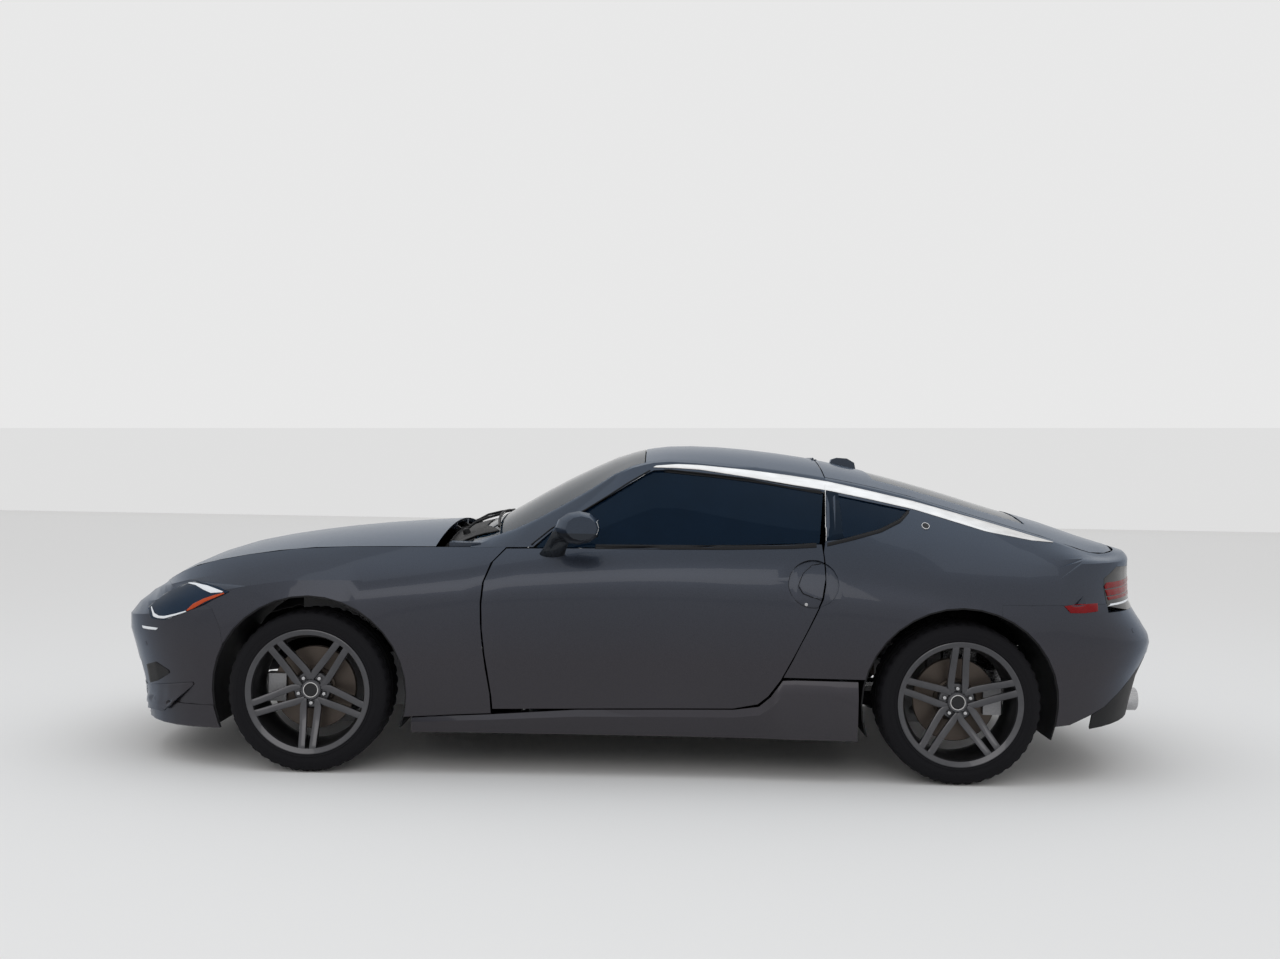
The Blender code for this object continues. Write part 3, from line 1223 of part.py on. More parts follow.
outer = lid_grid(roof_point, np.linspace(*HATCH_PANE_SHARES, HATCH_PANE_ROWS) * half_length,
                 HATCH_PANE_COLUMNS, half_width * PANE_EDGE_SHARE)
outer[..., 2] -= PANE_SINK
rear_pane = slab("hatch_glass", outer, offset_grid(outer, GLASS, (axle, 0, 0)), GLASS_DARK, hatch_hinge)
boolean(rear_pane, prism("hatch_pane_keep", grown(hatch_window, -SEAT_GAP), 0, top_z, BLACK, "Z", hatch_hinge),
        "INTERSECT")
fin = [(u * half_length, w * HEIGHT) for u, w in FIN_SHARES]
join(hatch, prism("antenna_fin", fin, -FIN_HALF, FIN_HALF, PAINT, parent=hatch_hinge))


def lid_barrel(name, low, high, mat, parent=None):
    """A short length of the hatch's hinge barrel."""
    return tube(name, (hatch_axis[0], low, hatch_axis[2]), (hatch_axis[0], high, hatch_axis[2]), LID_HINGE_RADIUS, mat,
                BARREL_STEPS, parent)


notch = LID_HINGE_RADIUS + SHUT_GAP
middle = LID_HINGE_Y / 2
cut(hatch, box("hatch_notch", (hatch_front - SHUT_GAP, -middle - SHUT_GAP, 0),
               (hatch_axis[0] + notch, middle + SHUT_GAP, top_z), BLACK, hatch_hinge))
for tag, side in SIDES:
    cut(roof, side_box(f"roof_notch_{tag}", side, (hatch_axis[0] - notch, middle, 0),
                       (hatch_axis[0] + notch, LID_HINGE_Y + SHUT_GAP, top_z), BLACK))
join(roof, lid_barrel("roof_barrel", -middle, middle, PAINT))
for tag, side in SIDES:
    near, far = side_reach(side, middle + SEAT_GAP, LID_HINGE_Y)
    strap = side_box(f"strap_{tag}", side, (hatch_axis[0], middle + STRAP_SET, hatch_axis[2] - HINGE_SET),
                     (hatch_front + HINGE_SET, LID_HINGE_Y, hatch_axis[2] - PANE_SINK), PAINT, hatch_hinge)
    join(hatch, lid_barrel(f"hatch_barrel_{tag}", near, far, PAINT, hatch_hinge), strap)


# Rear bumper, lamp panel and diffuser
def tail_r(g, shares, change):
    """Height r of a seam round the tail, moved by a change in r."""
    away = np.abs(g - tail_g)
    heights = np.interp(away, [s[0] for s in shares], [s[1] * HEIGHT for s in shares])
    return r_at(tail_g - away, heights) + change


def tail_grid(g_row, low, high, rows):
    """A grid round the tail between two rows of heights r."""
    return np.array([around_tail(g_row, low + (high - low) * share) for share in np.linspace(0, 1, rows)])


tail_inboard = (axle, 0, HEIGHT / 3)
g_arch = line_g("swell", seam_x - OVERRUN)
g_row = np.linspace(g_arch, 2 * tail_g - g_arch, REAR_BUMPER_COLUMNS)
outer = tail_grid(g_row, tail_r(g_row, VALANCE_SHARES, 0), BUMPER_TOP_R + 0 * g_row, 8)
rear_bumper = slab("rear_bumper", outer, offset_grid(outer, SKIN, tail_inboard), PAINT)
above = [(0, seam_z - SEAT_GAP), (lamp_x, seam_z - SEAT_GAP), (lamp_x, ledge_z - SEAT_GAP),
         (far_x, ledge_z - SEAT_GAP), (far_x, top_z), (0, top_z)]
cut(rear_bumper, prism("above_ledge", above, -half_width - OVERRUN, half_width + OVERRUN, BLACK),
    prism("ahead_of_seam", [(0, 0), (seam_x + SEAT_GAP, 0), (seam_x + SEAT_GAP, top_z), (0, top_z)],
          -half_width - OVERRUN, half_width + OVERRUN, BLACK))
for tag, side in SIDES:
    cut(rear_bumper, arch_cutter(1, side, ARCH_RADIUS, f"rear_bumper_{tag}"))
g_lamp = line_g("shoulder", lamp_x - OVERRUN)
g_row = np.linspace(g_lamp, 2 * tail_g - g_lamp, BUMPER_ROWS)
outer = tail_grid(g_row, LAMP_FOOT_R + 0 * g_row, belt_r + 0 * g_row, 5)
lamps = slab("tail_lamps", outer, offset_grid(outer, TAIL_LAMP_DEPTH, tail_inboard), LAMP_RED)
boolean(lamps, prism("lamps_keep", grown(tail_outline, -SEAT_GAP), -half_width - OVERRUN, half_width + OVERRUN,
                     BLACK), "INTERSECT")
g_row = np.linspace(tail_g - DIFFUSER_END, tail_g + DIFFUSER_END, BUMPER_ROWS)
outer = tail_grid(g_row, 0 * g_row, tail_r(g_row, VALANCE_SHARES, -VALANCE_SEAM_R), 4)
diffuser = slab("diffuser", outer, offset_grid(outer, SKIN, tail_inboard, LID_EDGE / 2), BLACK)

# Side skirts
for tag, side in SIDES:
    rings = []
    for share in SKIRT_SHARES:
        x = share * half_length
        hem = line_point("hem", line_g("hem", x))[2]
        front_share, front_height = DOOR_FRONT_SHARES[0]
        rear_share, rear_height = DOOR_REAR_SHARES[0]
        if share <= front_share:
            top = min(hem, front_height * HEIGHT) - SHUT_GAP
        elif share <= rear_share:
            top = pchip((front_share, rear_share), (front_height, rear_height), share) * HEIGHT - SHUT_GAP
        else:
            top = float(np.interp(share, SKIRT_RISE_SHARES[0], SKIRT_RISE_SHARES[1])) * HEIGHT - SHUT_GAP * 2
            top = min(top, SKIRT_TOP_SHARE * HEIGHT - SEAT_GAP)
        low = SKIRT_FOOT_SHARE * HEIGHT
        y_top = float(side_y(x, max(top, SKIRT_SIDE_Z)))
        inner = ROCKER_FAR + SEAT_GAP
        rings.append(mirrored([(x, inner, top), (x, y_top, top),
                               (x, y_top + SKIRT_FLARE, low + (top - low) * SKIRT_CREASE_SHARE),
                               (x, y_top + SKIRT_HEM, low), (x, inner, low)], side))
    loft(f"side_skirt_{tag}", rings, PAINT)

# Floor pan with tunnel, firewall, front rails and load floor. Columns: x from, x to, half width, z from, z to.
FLOOR_BLOCKS = {
    "floor_pan": (FIREWALL_X, FLOOR_REAR, FLOOR_HALF, FLOOR_LOW, FLOOR_TOP),
    "firewall": (FIREWALL_X, FIREWALL_X + FIREWALL_WALL, FIREWALL_HALF, FLOOR_LOW, FIREWALL_TOP),
    "tunnel": (FIREWALL_X, LOAD_FRONT + FIREWALL_WALL, TUNNEL_HALF, FLOOR_LOW + SKIN, TUNNEL_TOP),
    "riser": (LOAD_FRONT, LOAD_FRONT + FIREWALL_WALL, FIREWALL_HALF, FLOOR_LOW + SKIN, LOAD_TOP),
    "load_floor": (LOAD_FRONT, LOAD_REAR, well_face_y, LOAD_LOW, LOAD_TOP),
    "bumper_beam": (FRAME_FRONT - BEAM_WALL, FRAME_FRONT + BEAM_OVERLAP, BEAM_HALF, FRAME_LOW - BEAM_OVERLAP,
                    FRAME_TOP + BEAM_OVERLAP),
}
floor_parts = [box(name, (x_low, -half, z_low), (x_high, half, z_high), BLACK)
               for name, (x_low, x_high, half, z_low, z_high) in FLOOR_BLOCKS.items()]
for tag, side in SIDES:
    floor_parts.append(side_box(f"frame_rail_{tag}", side, (FRAME_FRONT, FRAME_INNER_Y, FRAME_LOW),
                                (FIREWALL_X + FIREWALL_WALL / 2, well_face_y, FRAME_TOP), BLACK))
    floor_parts.append(side_box(f"crash_can_{tag}", side, (BEAM_NOSE_X, FRAME_INNER_Y, FRAME_LOW),
                                (FRAME_FRONT, well_face_y, FRAME_TOP), BLACK))
join(floor_parts[0], *floor_parts[1:])

# Wheel wells: liners that follow the panels' arches out to just inside the skin
well_radius = ARCH_RADIUS - SEAT_GAP - WELL_WALL
for word, end in ENDS:
    for tag, side in SIDES:
        centre = wheel_centre(end, side)
        rings = []
        for k in range(-WELL_EXTRA, ARCH_STEPS // 2 + WELL_EXTRA + 1):
            a = 2 * math.pi * k / ARCH_STEPS
            x, z = math.cos(a), math.sin(a)
            out_x, out_z = centre[0] + ARCH_RADIUS * x, centre[2] + ARCH_RISE + ARCH_RADIUS * z
            edge_y = float(side_y(out_x, out_z)) - SKIN / 2
            rings.append([(centre[0] + (well_radius + wall) * x, side * y,
                           centre[2] + ARCH_RISE + (well_radius + wall) * z)
                          for wall, y in ((0, WELL_INNER_Y), (0, edge_y), (WELL_WALL, edge_y),
                                          (WELL_WALL, WELL_INNER_Y))])
        loft(f"wheel_well_{word}_{tag}", rings, BLACK)

# Wheels: a turned rim with five pairs of spokes, its brake disc and its tyre
steer_places = {tag: joint_empty(f"steer_{tag}", (-axle, side * STEER_AXIS_Y, TYRE_RADIUS)) for tag, side in SIDES}
half_tyre = TYRE_WIDTH / 2
bead = RIM_RADIUS - RIM_SINK
tyre_profile = [(bead, -RIM_FLANGE), (RIM_RADIUS + TYRE_BULGE, -half_tyre),
                (TYRE_RADIUS - TYRE_SHOULDER, TYRE_FLAT - half_tyre), (TYRE_RADIUS, TYRE_CROWN - half_tyre),
                (TYRE_RADIUS, half_tyre - TYRE_CROWN), (TYRE_RADIUS - TYRE_SHOULDER, half_tyre - TYRE_FLAT),
                (RIM_RADIUS + TYRE_BULGE, half_tyre), (bead, RIM_FLANGE),
                (bead, half_tyre - TYRE_BULGE), (bead, TYRE_BULGE - half_tyre)]
seat = bead - SEAT_GAP
barrel = seat - RIM_WELL
rim_profile = [(PLUG_RADIUS, HUB_FACE + CAP_EDGE), (CAP_RADIUS, HUB_FACE + CAP_EDGE), (CAP_RADIUS, HUB_FACE),
               (HUB_RADIUS, HUB_FACE), (barrel, RIM_FLANGE - RIM_LIP), (seat - RIM_SINK, RIM_FLANGE),
               (seat, RIM_FLANGE - RIM_SINK), (seat, -RIM_FLANGE), (seat - RIM_LIP, -RIM_FLANGE),
               (barrel, RIM_EDGE - RIM_FLANGE), (barrel - RIM_SINK, RIM_FLANGE - RIM_DISH),
               (HUB_RADIUS, HUB_FACE - SPOKE_DEPTH), (DISC_BELL, BELL_FACE), (DISC_BELL, DISC_FACE),
               (DISC_RADIUS, DISC_FACE), (DISC_RADIUS, DISC_BACK), (SPINDLE_RADIUS, DISC_BACK),
               (SPINDLE_RADIUS, DISC_BACK + SPINDLE_DEPTH), (PLUG_RADIUS, DISC_BACK + SPINDLE_DEPTH)]
for word, end in ENDS:
    for tag, side in SIDES:
        centre = wheel_centre(end, side)
        hub = joint_empty(f"wheel_{word}_{tag}", centre, steer_places[tag] if end < 0 else None)
        turned(f"tyre_{word}_{tag}", tyre_profile, centre, RUBBER, WHEEL_STEPS, side, hub)
        rim = turned(f"rim_{word}_{tag}", rim_profile, centre, ALLOY, WHEEL_STEPS, side, hub, closed=False)
        near, far = wheel_y + BELL_FACE + BRAKE_GAP, half_width + OVERRUN
        turn = 2 * math.pi / SPOKE_PAIRS
        half_turn = turn / 2
        apex = PAIR_ROOT / math.sin(half_turn)
        edge_out = math.asin(PAIR_TIP / WINDOW_OUTER)
        for k in range(SPOKE_PAIRS):
            base = turn * k + end * math.pi / 2
            slot = [(SLOT_INNER, -SLOT_ROOT), (SLOT_OUTER, -SLOT_TIP), (SLOT_OUTER, SLOT_TIP),
                    (SLOT_INNER, SLOT_ROOT)]
            slot_outline = [(centre[0] + r * math.cos(base) - w * math.sin(base),
                             centre[2] + r * math.sin(base) + w * math.cos(base)) for r, w in slot]
            window = [(apex, base + half_turn - APEX_TURN),
                      *((WINDOW_OUTER, base + edge_out + (turn - 2 * edge_out) * share)
                        for share in (0, 0.25, 0.5, 0.75, 1)), (apex, base + half_turn + APEX_TURN)]
            window_outline = [(centre[0] + r * math.cos(a), centre[2] + r * math.sin(a)) for r, a in window]
            cut(rim, side_prism(f"slot_{word}_{tag}_{k}", side, slot_outline, near, far, ALLOY, hub),
                side_prism(f"window_{word}_{tag}_{k}", side, window_outline, near, far, ALLOY, hub))


def spindle(name, end, side, parent=None):
    """The stub axle that enters the bore of a wheel."""
    x, _, z = wheel_centre(end, side)
    tip = wheel_y + DISC_BACK + SPINDLE_DEPTH - SEAT_GAP
    return tube(name, (x, side * (KNUCKLE_OUTER_Y - OVERRUN), z), (x, side * tip, z), SPINDLE_RADIUS - SEAT_GAP,
                CAST, 12, parent)


def calliper(name, end, side, toward, mat, parent=None):
    """A brake calliper over the disc's edge, on the front (-1) or rear (1) side of the wheel."""
    x, _, z = wheel_centre(end, side)
    face, back = wheel_y + DISC_FACE, wheel_y + DISC_BACK
    far_x = DISC_RADIUS + BRAKE_GAP
    outline = [(CALLIPER_INNER, face + BRAKE_GAP), (CALLIPER_INNER, face + CALLIPER_WALL),
               (far_x + CALLIPER_WALL / 2, face + CALLIPER_WALL), (far_x + CALLIPER_WALL, face),
               (far_x + CALLIPER_WALL, back - CALLIPER_WALL), (CALLIPER_INNER, back - CALLIPER_WALL),
               (CALLIPER_INNER, back - BRAKE_GAP), (far_x, back - BRAKE_GAP), (far_x, face + BRAKE_GAP)]
    return plan_prism(name, side, [(x + toward * u, y) for u, y in outline], z - CALLIPER_HALF, z + CALLIPER_HALF,
                      mat, parent)


# Knuckles with spindles, callipers and steering arms
for tag, side in SIDES:
    steer = steer_places[tag]
    knuckle = side_box(f"knuckle_{tag}", side, (-axle - KNUCKLE_HALF, KNUCKLE_INNER_Y, TYRE_RADIUS - KNUCKLE_RISE),
                       (-axle + KNUCKLE_HALF, KNUCKLE_OUTER_Y - BRAKE_GAP, TYRE_RADIUS + KNUCKLE_RISE), CAST, steer)
    bracket = side_box(f"bracket_{tag}", side, (-axle - CALLIPER_INNER - CALLIPER_FOOT, STEER_AXIS_Y - SPINDLE_RADIUS,
                                                TYRE_RADIUS - CALLIPER_FOOT),
                       (-axle - KNUCKLE_HALF + CALLIPER_WALL, KNUCKLE_OUTER_Y - BRAKE_GAP,
                        TYRE_RADIUS + CALLIPER_FOOT), CAST, steer)
    arm = side_box(f"steer_arm_{tag}", side, (-axle + KNUCKLE_HALF - CALLIPER_WALL, KNUCKLE_INNER_Y,
                                              TYRE_RADIUS - CALLIPER_HALF),
                   (-axle + ARM_SPREAD, KNUCKLE_INNER_Y + CALLIPER_FOOT, TYRE_RADIUS - CALLIPER_FOOT), CAST, steer)
    join(knuckle, bracket, arm, spindle(f"spindle_{tag}", -1, side, steer),
         calliper(f"calliper_{tag}", -1, side, -1, CAST, steer))

# Front subframe with lower and upper arms, each ending in a pin on the steering axis
front_frame = box("front_subframe", (-axle - SUBFRAME_HALF, -SUBFRAME_Y, SUBFRAME_LOW),
                  (-axle + SUBFRAME_HALF, SUBFRAME_Y, SUBFRAME_TOP), STEEL)
foot_z, head_z = TYRE_RADIUS - KNUCKLE_RISE - SEAT_GAP, TYRE_RADIUS + KNUCKLE_RISE + SEAT_GAP
for tag, side in SIDES:
    post = side_box(f"front_post_{tag}", side, (-axle - CALLIPER_FOOT, FRAME_INNER_Y + BEAM_OVERLAP, SUBFRAME_LOW),
                    (-axle + CALLIPER_FOOT, SUBFRAME_Y, FRAME_LOW - SEAT_GAP), STEEL)
    join(front_frame, post)
    for word, root_z, arm_z, pin_z in (("lower", SUBFRAME_TOP - ARM_RADIUS, LOWER_ARM_Z, foot_z),
                                       ("upper", FRAME_LOW - 2 * ARM_RADIUS, UPPER_ARM_Z, head_z)):
        join(front_frame,
             tube(f"{word}_arm_{tag}", (-axle, side * (SUBFRAME_Y - ARM_RADIUS), root_z),
                  (-axle, side * STEER_AXIS_Y, arm_z), ARM_RADIUS, STEEL),
             tube(f"{word}_pin_{tag}", (-axle, side * STEER_AXIS_Y, arm_z), (-axle, side * STEER_AXIS_Y, pin_z),
                  BALL_RADIUS, STEEL))

# Rear subframe with arms and carriers
rear_frame = box("rear_subframe", (axle - REAR_FRAME_HALF, -REAR_FRAME_Y, REAR_FRAME_LOW),
                 (axle + REAR_FRAME_HALF, REAR_FRAME_Y, REAR_FRAME_TOP), STEEL)
for tag, side in SIDES:
    post = side_box(f"rear_post_{tag}", side, (axle - CALLIPER_FOOT, REAR_FRAME_Y - KNUCKLE_HALF, REAR_FRAME_LOW),
                    (axle + CALLIPER_FOOT, REAR_FRAME_Y, LOAD_LOW - SEAT_GAP), STEEL)
    carrier = side_box(f"carrier_{tag}", side, (axle - KNUCKLE_HALF, KNUCKLE_INNER_Y, TYRE_RADIUS - KNUCKLE_RISE),
                       (axle + KNUCKLE_HALF, KNUCKLE_OUTER_Y - BRAKE_GAP, TYRE_RADIUS + KNUCKLE_RISE), STEEL)
    bracket = side_box(f"rear_bracket_{tag}", side, (axle + KNUCKLE_HALF - CALLIPER_WALL, STEER_AXIS_Y,
                                                     TYRE_RADIUS - CALLIPER_FOOT),
                       (axle + CALLIPER_INNER + CALLIPER_FOOT, KNUCKLE_OUTER_Y - BRAKE_GAP,
                        TYRE_RADIUS + CALLIPER_FOOT), STEEL)
    join(rear_frame, post, carrier, bracket, spindle(f"rear_spindle_{tag}", 1, side),
         calliper(f"rear_calliper_{tag}", 1, side, 1, STEEL))
    for n, (x_root, x_tip, z_root, z_tip) in enumerate(REAR_ARM_PLACES):
        join(rear_frame, tube(f"rear_arm_{tag}_{n}", (axle + x_root, side * (REAR_FRAME_Y - ARM_RADIUS), z_root),
                              (axle + x_tip, side * (KNUCKLE_INNER_Y + ARM_RADIUS), z_tip), ARM_RADIUS, STEEL))

cut(rear_frame, tube("pipe_hole", (axle - REAR_FRAME_HALF - OVERRUN, 0, PIPE_Z),
                     (axle + REAR_FRAME_HALF + OVERRUN, 0, PIPE_Z), PIPE_RADIUS + TIP_GAP, BLACK))

# Engine, and exhaust with its silencer and two tips
box("engine", (ENGINE_SHARES[0] * half_length, -ENGINE_HALF, SUBFRAME_TOP + SEAT_GAP),
    (ENGINE_SHARES[1] * half_length, ENGINE_HALF, ENGINE_TOP), CAST)
tip_x = half_length - TIP_SET
exhaust = tube("exhaust", (PIPE_FRONT, 0, PIPE_Z), (SILENCER_FRONT + ARM_RADIUS, 0, PIPE_Z), PIPE_RADIUS, STEEL, 10)
silencer = box("silencer", (SILENCER_FRONT, -SILENCER_HALF, SILENCER_LOW),
               (SILENCER_REAR, SILENCER_HALF, SILENCER_TOP), STEEL)
hanger = box("hanger", (SILENCER_FRONT + ARM_RADIUS, -ARM_RADIUS, SILENCER_TOP - ARM_RADIUS),
             (SILENCER_FRONT + 3 * ARM_RADIUS, ARM_RADIUS, LOAD_LOW - SEAT_GAP), STEEL)
join(exhaust, silencer, hanger)
for tag, side in SIDES:
    join(exhaust, tube(f"tip_{tag}", (SILENCER_REAR - ARM_RADIUS, side * TIP_Y, TIP_Z), (tip_x, side * TIP_Y, TIP_Z),
                       TIP_RADIUS, STEEL, TIP_STEPS))
    for tag_2, target in (("diffuser", diffuser), ("bumper", rear_bumper)):
        cut(target, tube(f"tip_hole_{tag_2}_{tag}", (SILENCER_REAR, side * TIP_Y, TIP_Z),
                         (far_x, side * TIP_Y, TIP_Z), TIP_RADIUS + TIP_GAP, BLACK, TIP_STEPS))

# Cabin: dashboard, steering wheel on its column, and two seats
dash = [(FIREWALL_X + FIREWALL_WALL + SEAT_GAP + u, w) for u, w in DASH_PLACES]
dashboard = prism("dashboard", dash, -DASH_HALF, DASH_HALF, BLACK)
hood_outline = [(dash[2][0] + u, dash[2][1] + w) for u, w in BINNACLE_PLACES]
steer_y = -DRIVER_SHARE * half_width
join(dashboard, prism("binnacle", hood_outline, steer_y - BINNACLE_HALF, steer_y + BINNACLE_HALF, BLACK))
tilt = math.radians(COLUMN_TILT)
place = Vector((COLUMN_X, steer_y, COLUMN_Z))
wheel_hub = joint_empty("steering_turn", tuple(place))
face = Vector((math.cos(tilt), 0, math.sin(tilt)))
rise = Vector((-math.sin(tilt), 0, math.cos(tilt)))
right = Vector((0, 1, 0))
sections = []
for k in range(WHEEL_STEPS):
    a = 2 * math.pi * k / WHEEL_STEPS
    out = right * math.cos(a) + rise * math.sin(a)
    sections.append([tuple(place + out * (GRIP_RADIUS + GRIP_WALL * math.cos(b)) + face * GRIP_WALL * math.sin(b))
                     for b in (2 * math.pi * m / 6 for m in range(6))])
ring = loft("steering_wheel", sections, BLACK, wheel_hub, closed=True)
bar = tube("wheel_bar", place - right * GRIP_RADIUS, place + right * GRIP_RADIUS, SPOKE_BAR, BLACK, 8, wheel_hub)
leg = tube("wheel_leg", place, place - rise * GRIP_RADIUS, SPOKE_BAR, BLACK, 8, wheel_hub)
boss = tube("wheel_boss", place - face * COLUMN_GAP, place + face * GRIP_WALL, BOSS_RADIUS, BLACK, 12, wheel_hub)
join(ring, bar, leg, boss)
join(dashboard, tube("column", place - face * (COLUMN_GAP + SEAT_GAP), place - face * COLUMN_LENGTH, COLUMN_RADIUS,
                     BLACK, 10))
for tag, side in SIDES:
    near, far = DRIVER_SHARE * half_width - SEAT_HALF, DRIVER_SHARE * half_width + SEAT_HALF
    seat_piece = side_prism(f"seat_{tag}", side, SEAT_PLACES, near, far, SEAT_COVER)
    for n, (y_low, y_high) in enumerate(((near, near + BOLSTER), (far - BOLSTER, far))):
        join(seat_piece, side_prism(f"bolster_{tag}_{n}", side, BOLSTER_PLACES, y_low, y_high, SEAT_COVER),
             side_prism(f"back_bolster_{tag}_{n}", side, BACK_BOLSTER_PLACES, y_low, y_high, SEAT_COVER))
    head_near = DRIVER_SHARE * half_width - HEADREST_HALF
    join(seat_piece, side_prism(f"headrest_{tag}", side, HEADREST_PLACES, head_near, head_near + 2 * HEADREST_HALF,
                                SEAT_COVER))
    join(seat_piece, side_box(f"seat_rail_{tag}", side, (SEAT_RAIL_PLACES[0], near + BOLSTER,
                                                         FLOOR_TOP + SEAT_GAP),
                              (SEAT_RAIL_PLACES[1], far - BOLSTER, SEAT_RAIL_PLACES[2]), SEAT_COVER))

# Mirrors, each on a foot that stands on the door
for tag, side in SIDES:
    foot_y = float(side_y(MIRROR_PLACES[0][3], MIRROR_PLACES[0][4])) + SEAT_GAP
    rings = []
    for out, half_x, half_z, x, z in MIRROR_PLACES:
        ring = []
        for m in range(MIRROR_STEPS):
            a = 2 * math.pi * m / MIRROR_STEPS
            point_x, point_z = x + half_x * math.cos(a), z + half_z * math.sin(a)
            y = foot_y + out if out else float(side_y(point_x, point_z)) + PANEL_SEAM
            ring.append((point_x, side * y, point_z))
        rings.append(ring)
    mirror = loft(f"mirror_{tag}", rings, PAINT, door_hinges[tag])
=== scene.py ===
# %% [markdown]
# # A grey fastback coupe, dressed for its portrait
# The solids of the car come in as a fixed frame. This lesson gives each of them its finish, and adds
# the pieces that are too fine for the solids: tread, spokes, lamps, trim, stitching and wipers.
# The car points along -X, its right side is +Y, and the ground is at Z 0. Lengths are metres, and
# millimetres where a table is written with mm.

# %% Frame
import math

import bpy
from mathutils import Matrix, Vector
from mathutils.bvhtree import BVHTree


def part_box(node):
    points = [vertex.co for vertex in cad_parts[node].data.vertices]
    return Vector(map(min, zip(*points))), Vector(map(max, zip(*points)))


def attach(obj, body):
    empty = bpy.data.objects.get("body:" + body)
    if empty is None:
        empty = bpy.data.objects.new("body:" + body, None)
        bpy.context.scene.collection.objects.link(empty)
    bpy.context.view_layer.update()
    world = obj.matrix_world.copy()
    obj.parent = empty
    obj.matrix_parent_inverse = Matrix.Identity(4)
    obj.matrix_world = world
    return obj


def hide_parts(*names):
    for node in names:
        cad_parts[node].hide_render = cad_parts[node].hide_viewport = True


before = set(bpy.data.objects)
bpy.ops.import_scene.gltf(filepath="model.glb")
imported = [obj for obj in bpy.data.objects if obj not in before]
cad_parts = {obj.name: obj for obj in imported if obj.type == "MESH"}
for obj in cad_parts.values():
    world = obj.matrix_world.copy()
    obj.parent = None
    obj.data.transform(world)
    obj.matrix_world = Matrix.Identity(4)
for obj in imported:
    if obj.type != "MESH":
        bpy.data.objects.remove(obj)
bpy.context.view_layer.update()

SIDES = (("left", -1), ("right", 1))

# %% [markdown]
# ## Working on objects
# Operators act on what is selected. A few short functions take care of that: they add an object,
# select it alone, run steps on its whole mesh, and give it modifiers.

# %% Helpers
def mm(*rows):
    """Rows of millimetres, in metres."""
    return tuple(tuple(value / 1000 for value in row) for row in rows)


def added(name, data):
    """A new object in the scene."""
    made = bpy.data.objects.new(name, data)
    bpy.context.scene.collection.objects.link(made)
    return made


def only(*pieces):
    """Selects these objects alone and makes the first one active."""
    bpy.ops.object.select_all(action="DESELECT")
    for piece in reversed(pieces):
        piece.select_set(True)
        bpy.context.view_layer.objects.active = piece


def edit(*steps):
    """Runs steps on the whole active mesh. Each is an operator with its settings."""
    bpy.ops.object.mode_set(mode="EDIT")
    for operator, settings in steps:
        bpy.ops.mesh.select_all(action="SELECT")
        operator(**settings)
    bpy.ops.object.mode_set(mode="OBJECT")


def modify(piece, kind, **settings):
    """Adds a modifier and its settings."""
    made = piece.modifiers.new(kind.lower(), kind)
    for name, value in settings.items():
        setattr(made, name, value)


def apply_modifiers(piece):
    only(piece)
    for modifier in list(piece.modifiers):
        bpy.ops.object.modifier_apply(modifier=modifier.name)


FACE_OUT = (bpy.ops.mesh.normals_make_consistent, {"inside": False})

# %% [markdown]
# ## The camera
# The photograph was taken from the left, about 6.3 m away and 1.25 m above the ground, with a
# slight roll. Those values were fitted to the near wheels, the ground under them, the roof's
# highest row and the car's two ends, with wheelbase, rim size and height taken as given. So the
# camera is written as that place and three turns instead of being moved about by eye.

# %% Camera
CAMERA_PLACE = (0.0842, -6.2586, 1.2493)
YAW, PITCH, ROLL = 0.0134, 0.0143, 0.0175
FOCAL_PIXELS, FRAME_WIDTH, MIDDLE_ROW, SENSOR = 1378.8, 1280, 479.5, 36.0
camera = added("camera", bpy.data.cameras.new("camera"))
camera.data.sensor_width = SENSOR
camera.data.lens = SENSOR * FOCAL_PIXELS / FRAME_WIDTH
turn = (Matrix.Rotation(YAW, 4, "Z") @ Matrix.Rotation(math.pi / 2 - PITCH, 4, "X")
        @ Matrix.Rotation(ROLL, 4, "Z"))
camera.matrix_world = Matrix.Translation(CAMERA_PLACE) @ turn
bpy.context.scene.camera = camera
print("lens", round(camera.data.lens, 2))

# %% [markdown]
# ## Shader arithmetic
# A finish is easiest to read as a formula, such as `dust * 0.1 + 0.27`. `Flow` wraps one socket
# of a material and turns Python's operators into Math nodes. Its method `node` adds any other node,
# so every pattern below is a line or two.

# %% Flow
class Flow:
    """A value inside a material. Arithmetic on it adds Math nodes."""

    def __init__(self, tree, socket=None):
        self.tree, self.socket = tree, socket

    def node(self, kind, settings=(), inputs=(), out=0):
        """Adds a node with its settings first and its inputs after, and returns one of its outputs."""
        made = self.tree.nodes.new("ShaderNode" + kind)
        for name, value in dict(settings).items():
            setattr(made, name, value)
        for name, value in dict(inputs).items():
            if isinstance(value, Flow):
                self.tree.links.new(value.socket, made.inputs[name])
            else:
                made.inputs[name].default_value = value
        return Flow(self.tree, made.outputs[out])

    def math(self, operation, *values):
        return self.node("Math", {"operation": operation}, dict(enumerate(values)))

    def __add__(self, other):
        return self.math("ADD", self, other)

    def __sub__(self, other):
        return self.math("SUBTRACT", self, other)

    def __mul__(self, other):
        return self.math("MULTIPLY", self, other)

    def above(self, edge):
        return self.math("GREATER_THAN", self, edge)

    def below(self, edge):
        return self.math("LESS_THAN", self, edge)

    def mix(self, first, second):
        """A colour that goes from first to second as this value goes from 0 to 1."""
        return self.node("Mix", {"data_type": "RGBA"}, {0: self, 6: first, 7: second}, 2)


def rgb(*shade):
    return (*shade, 1.0)


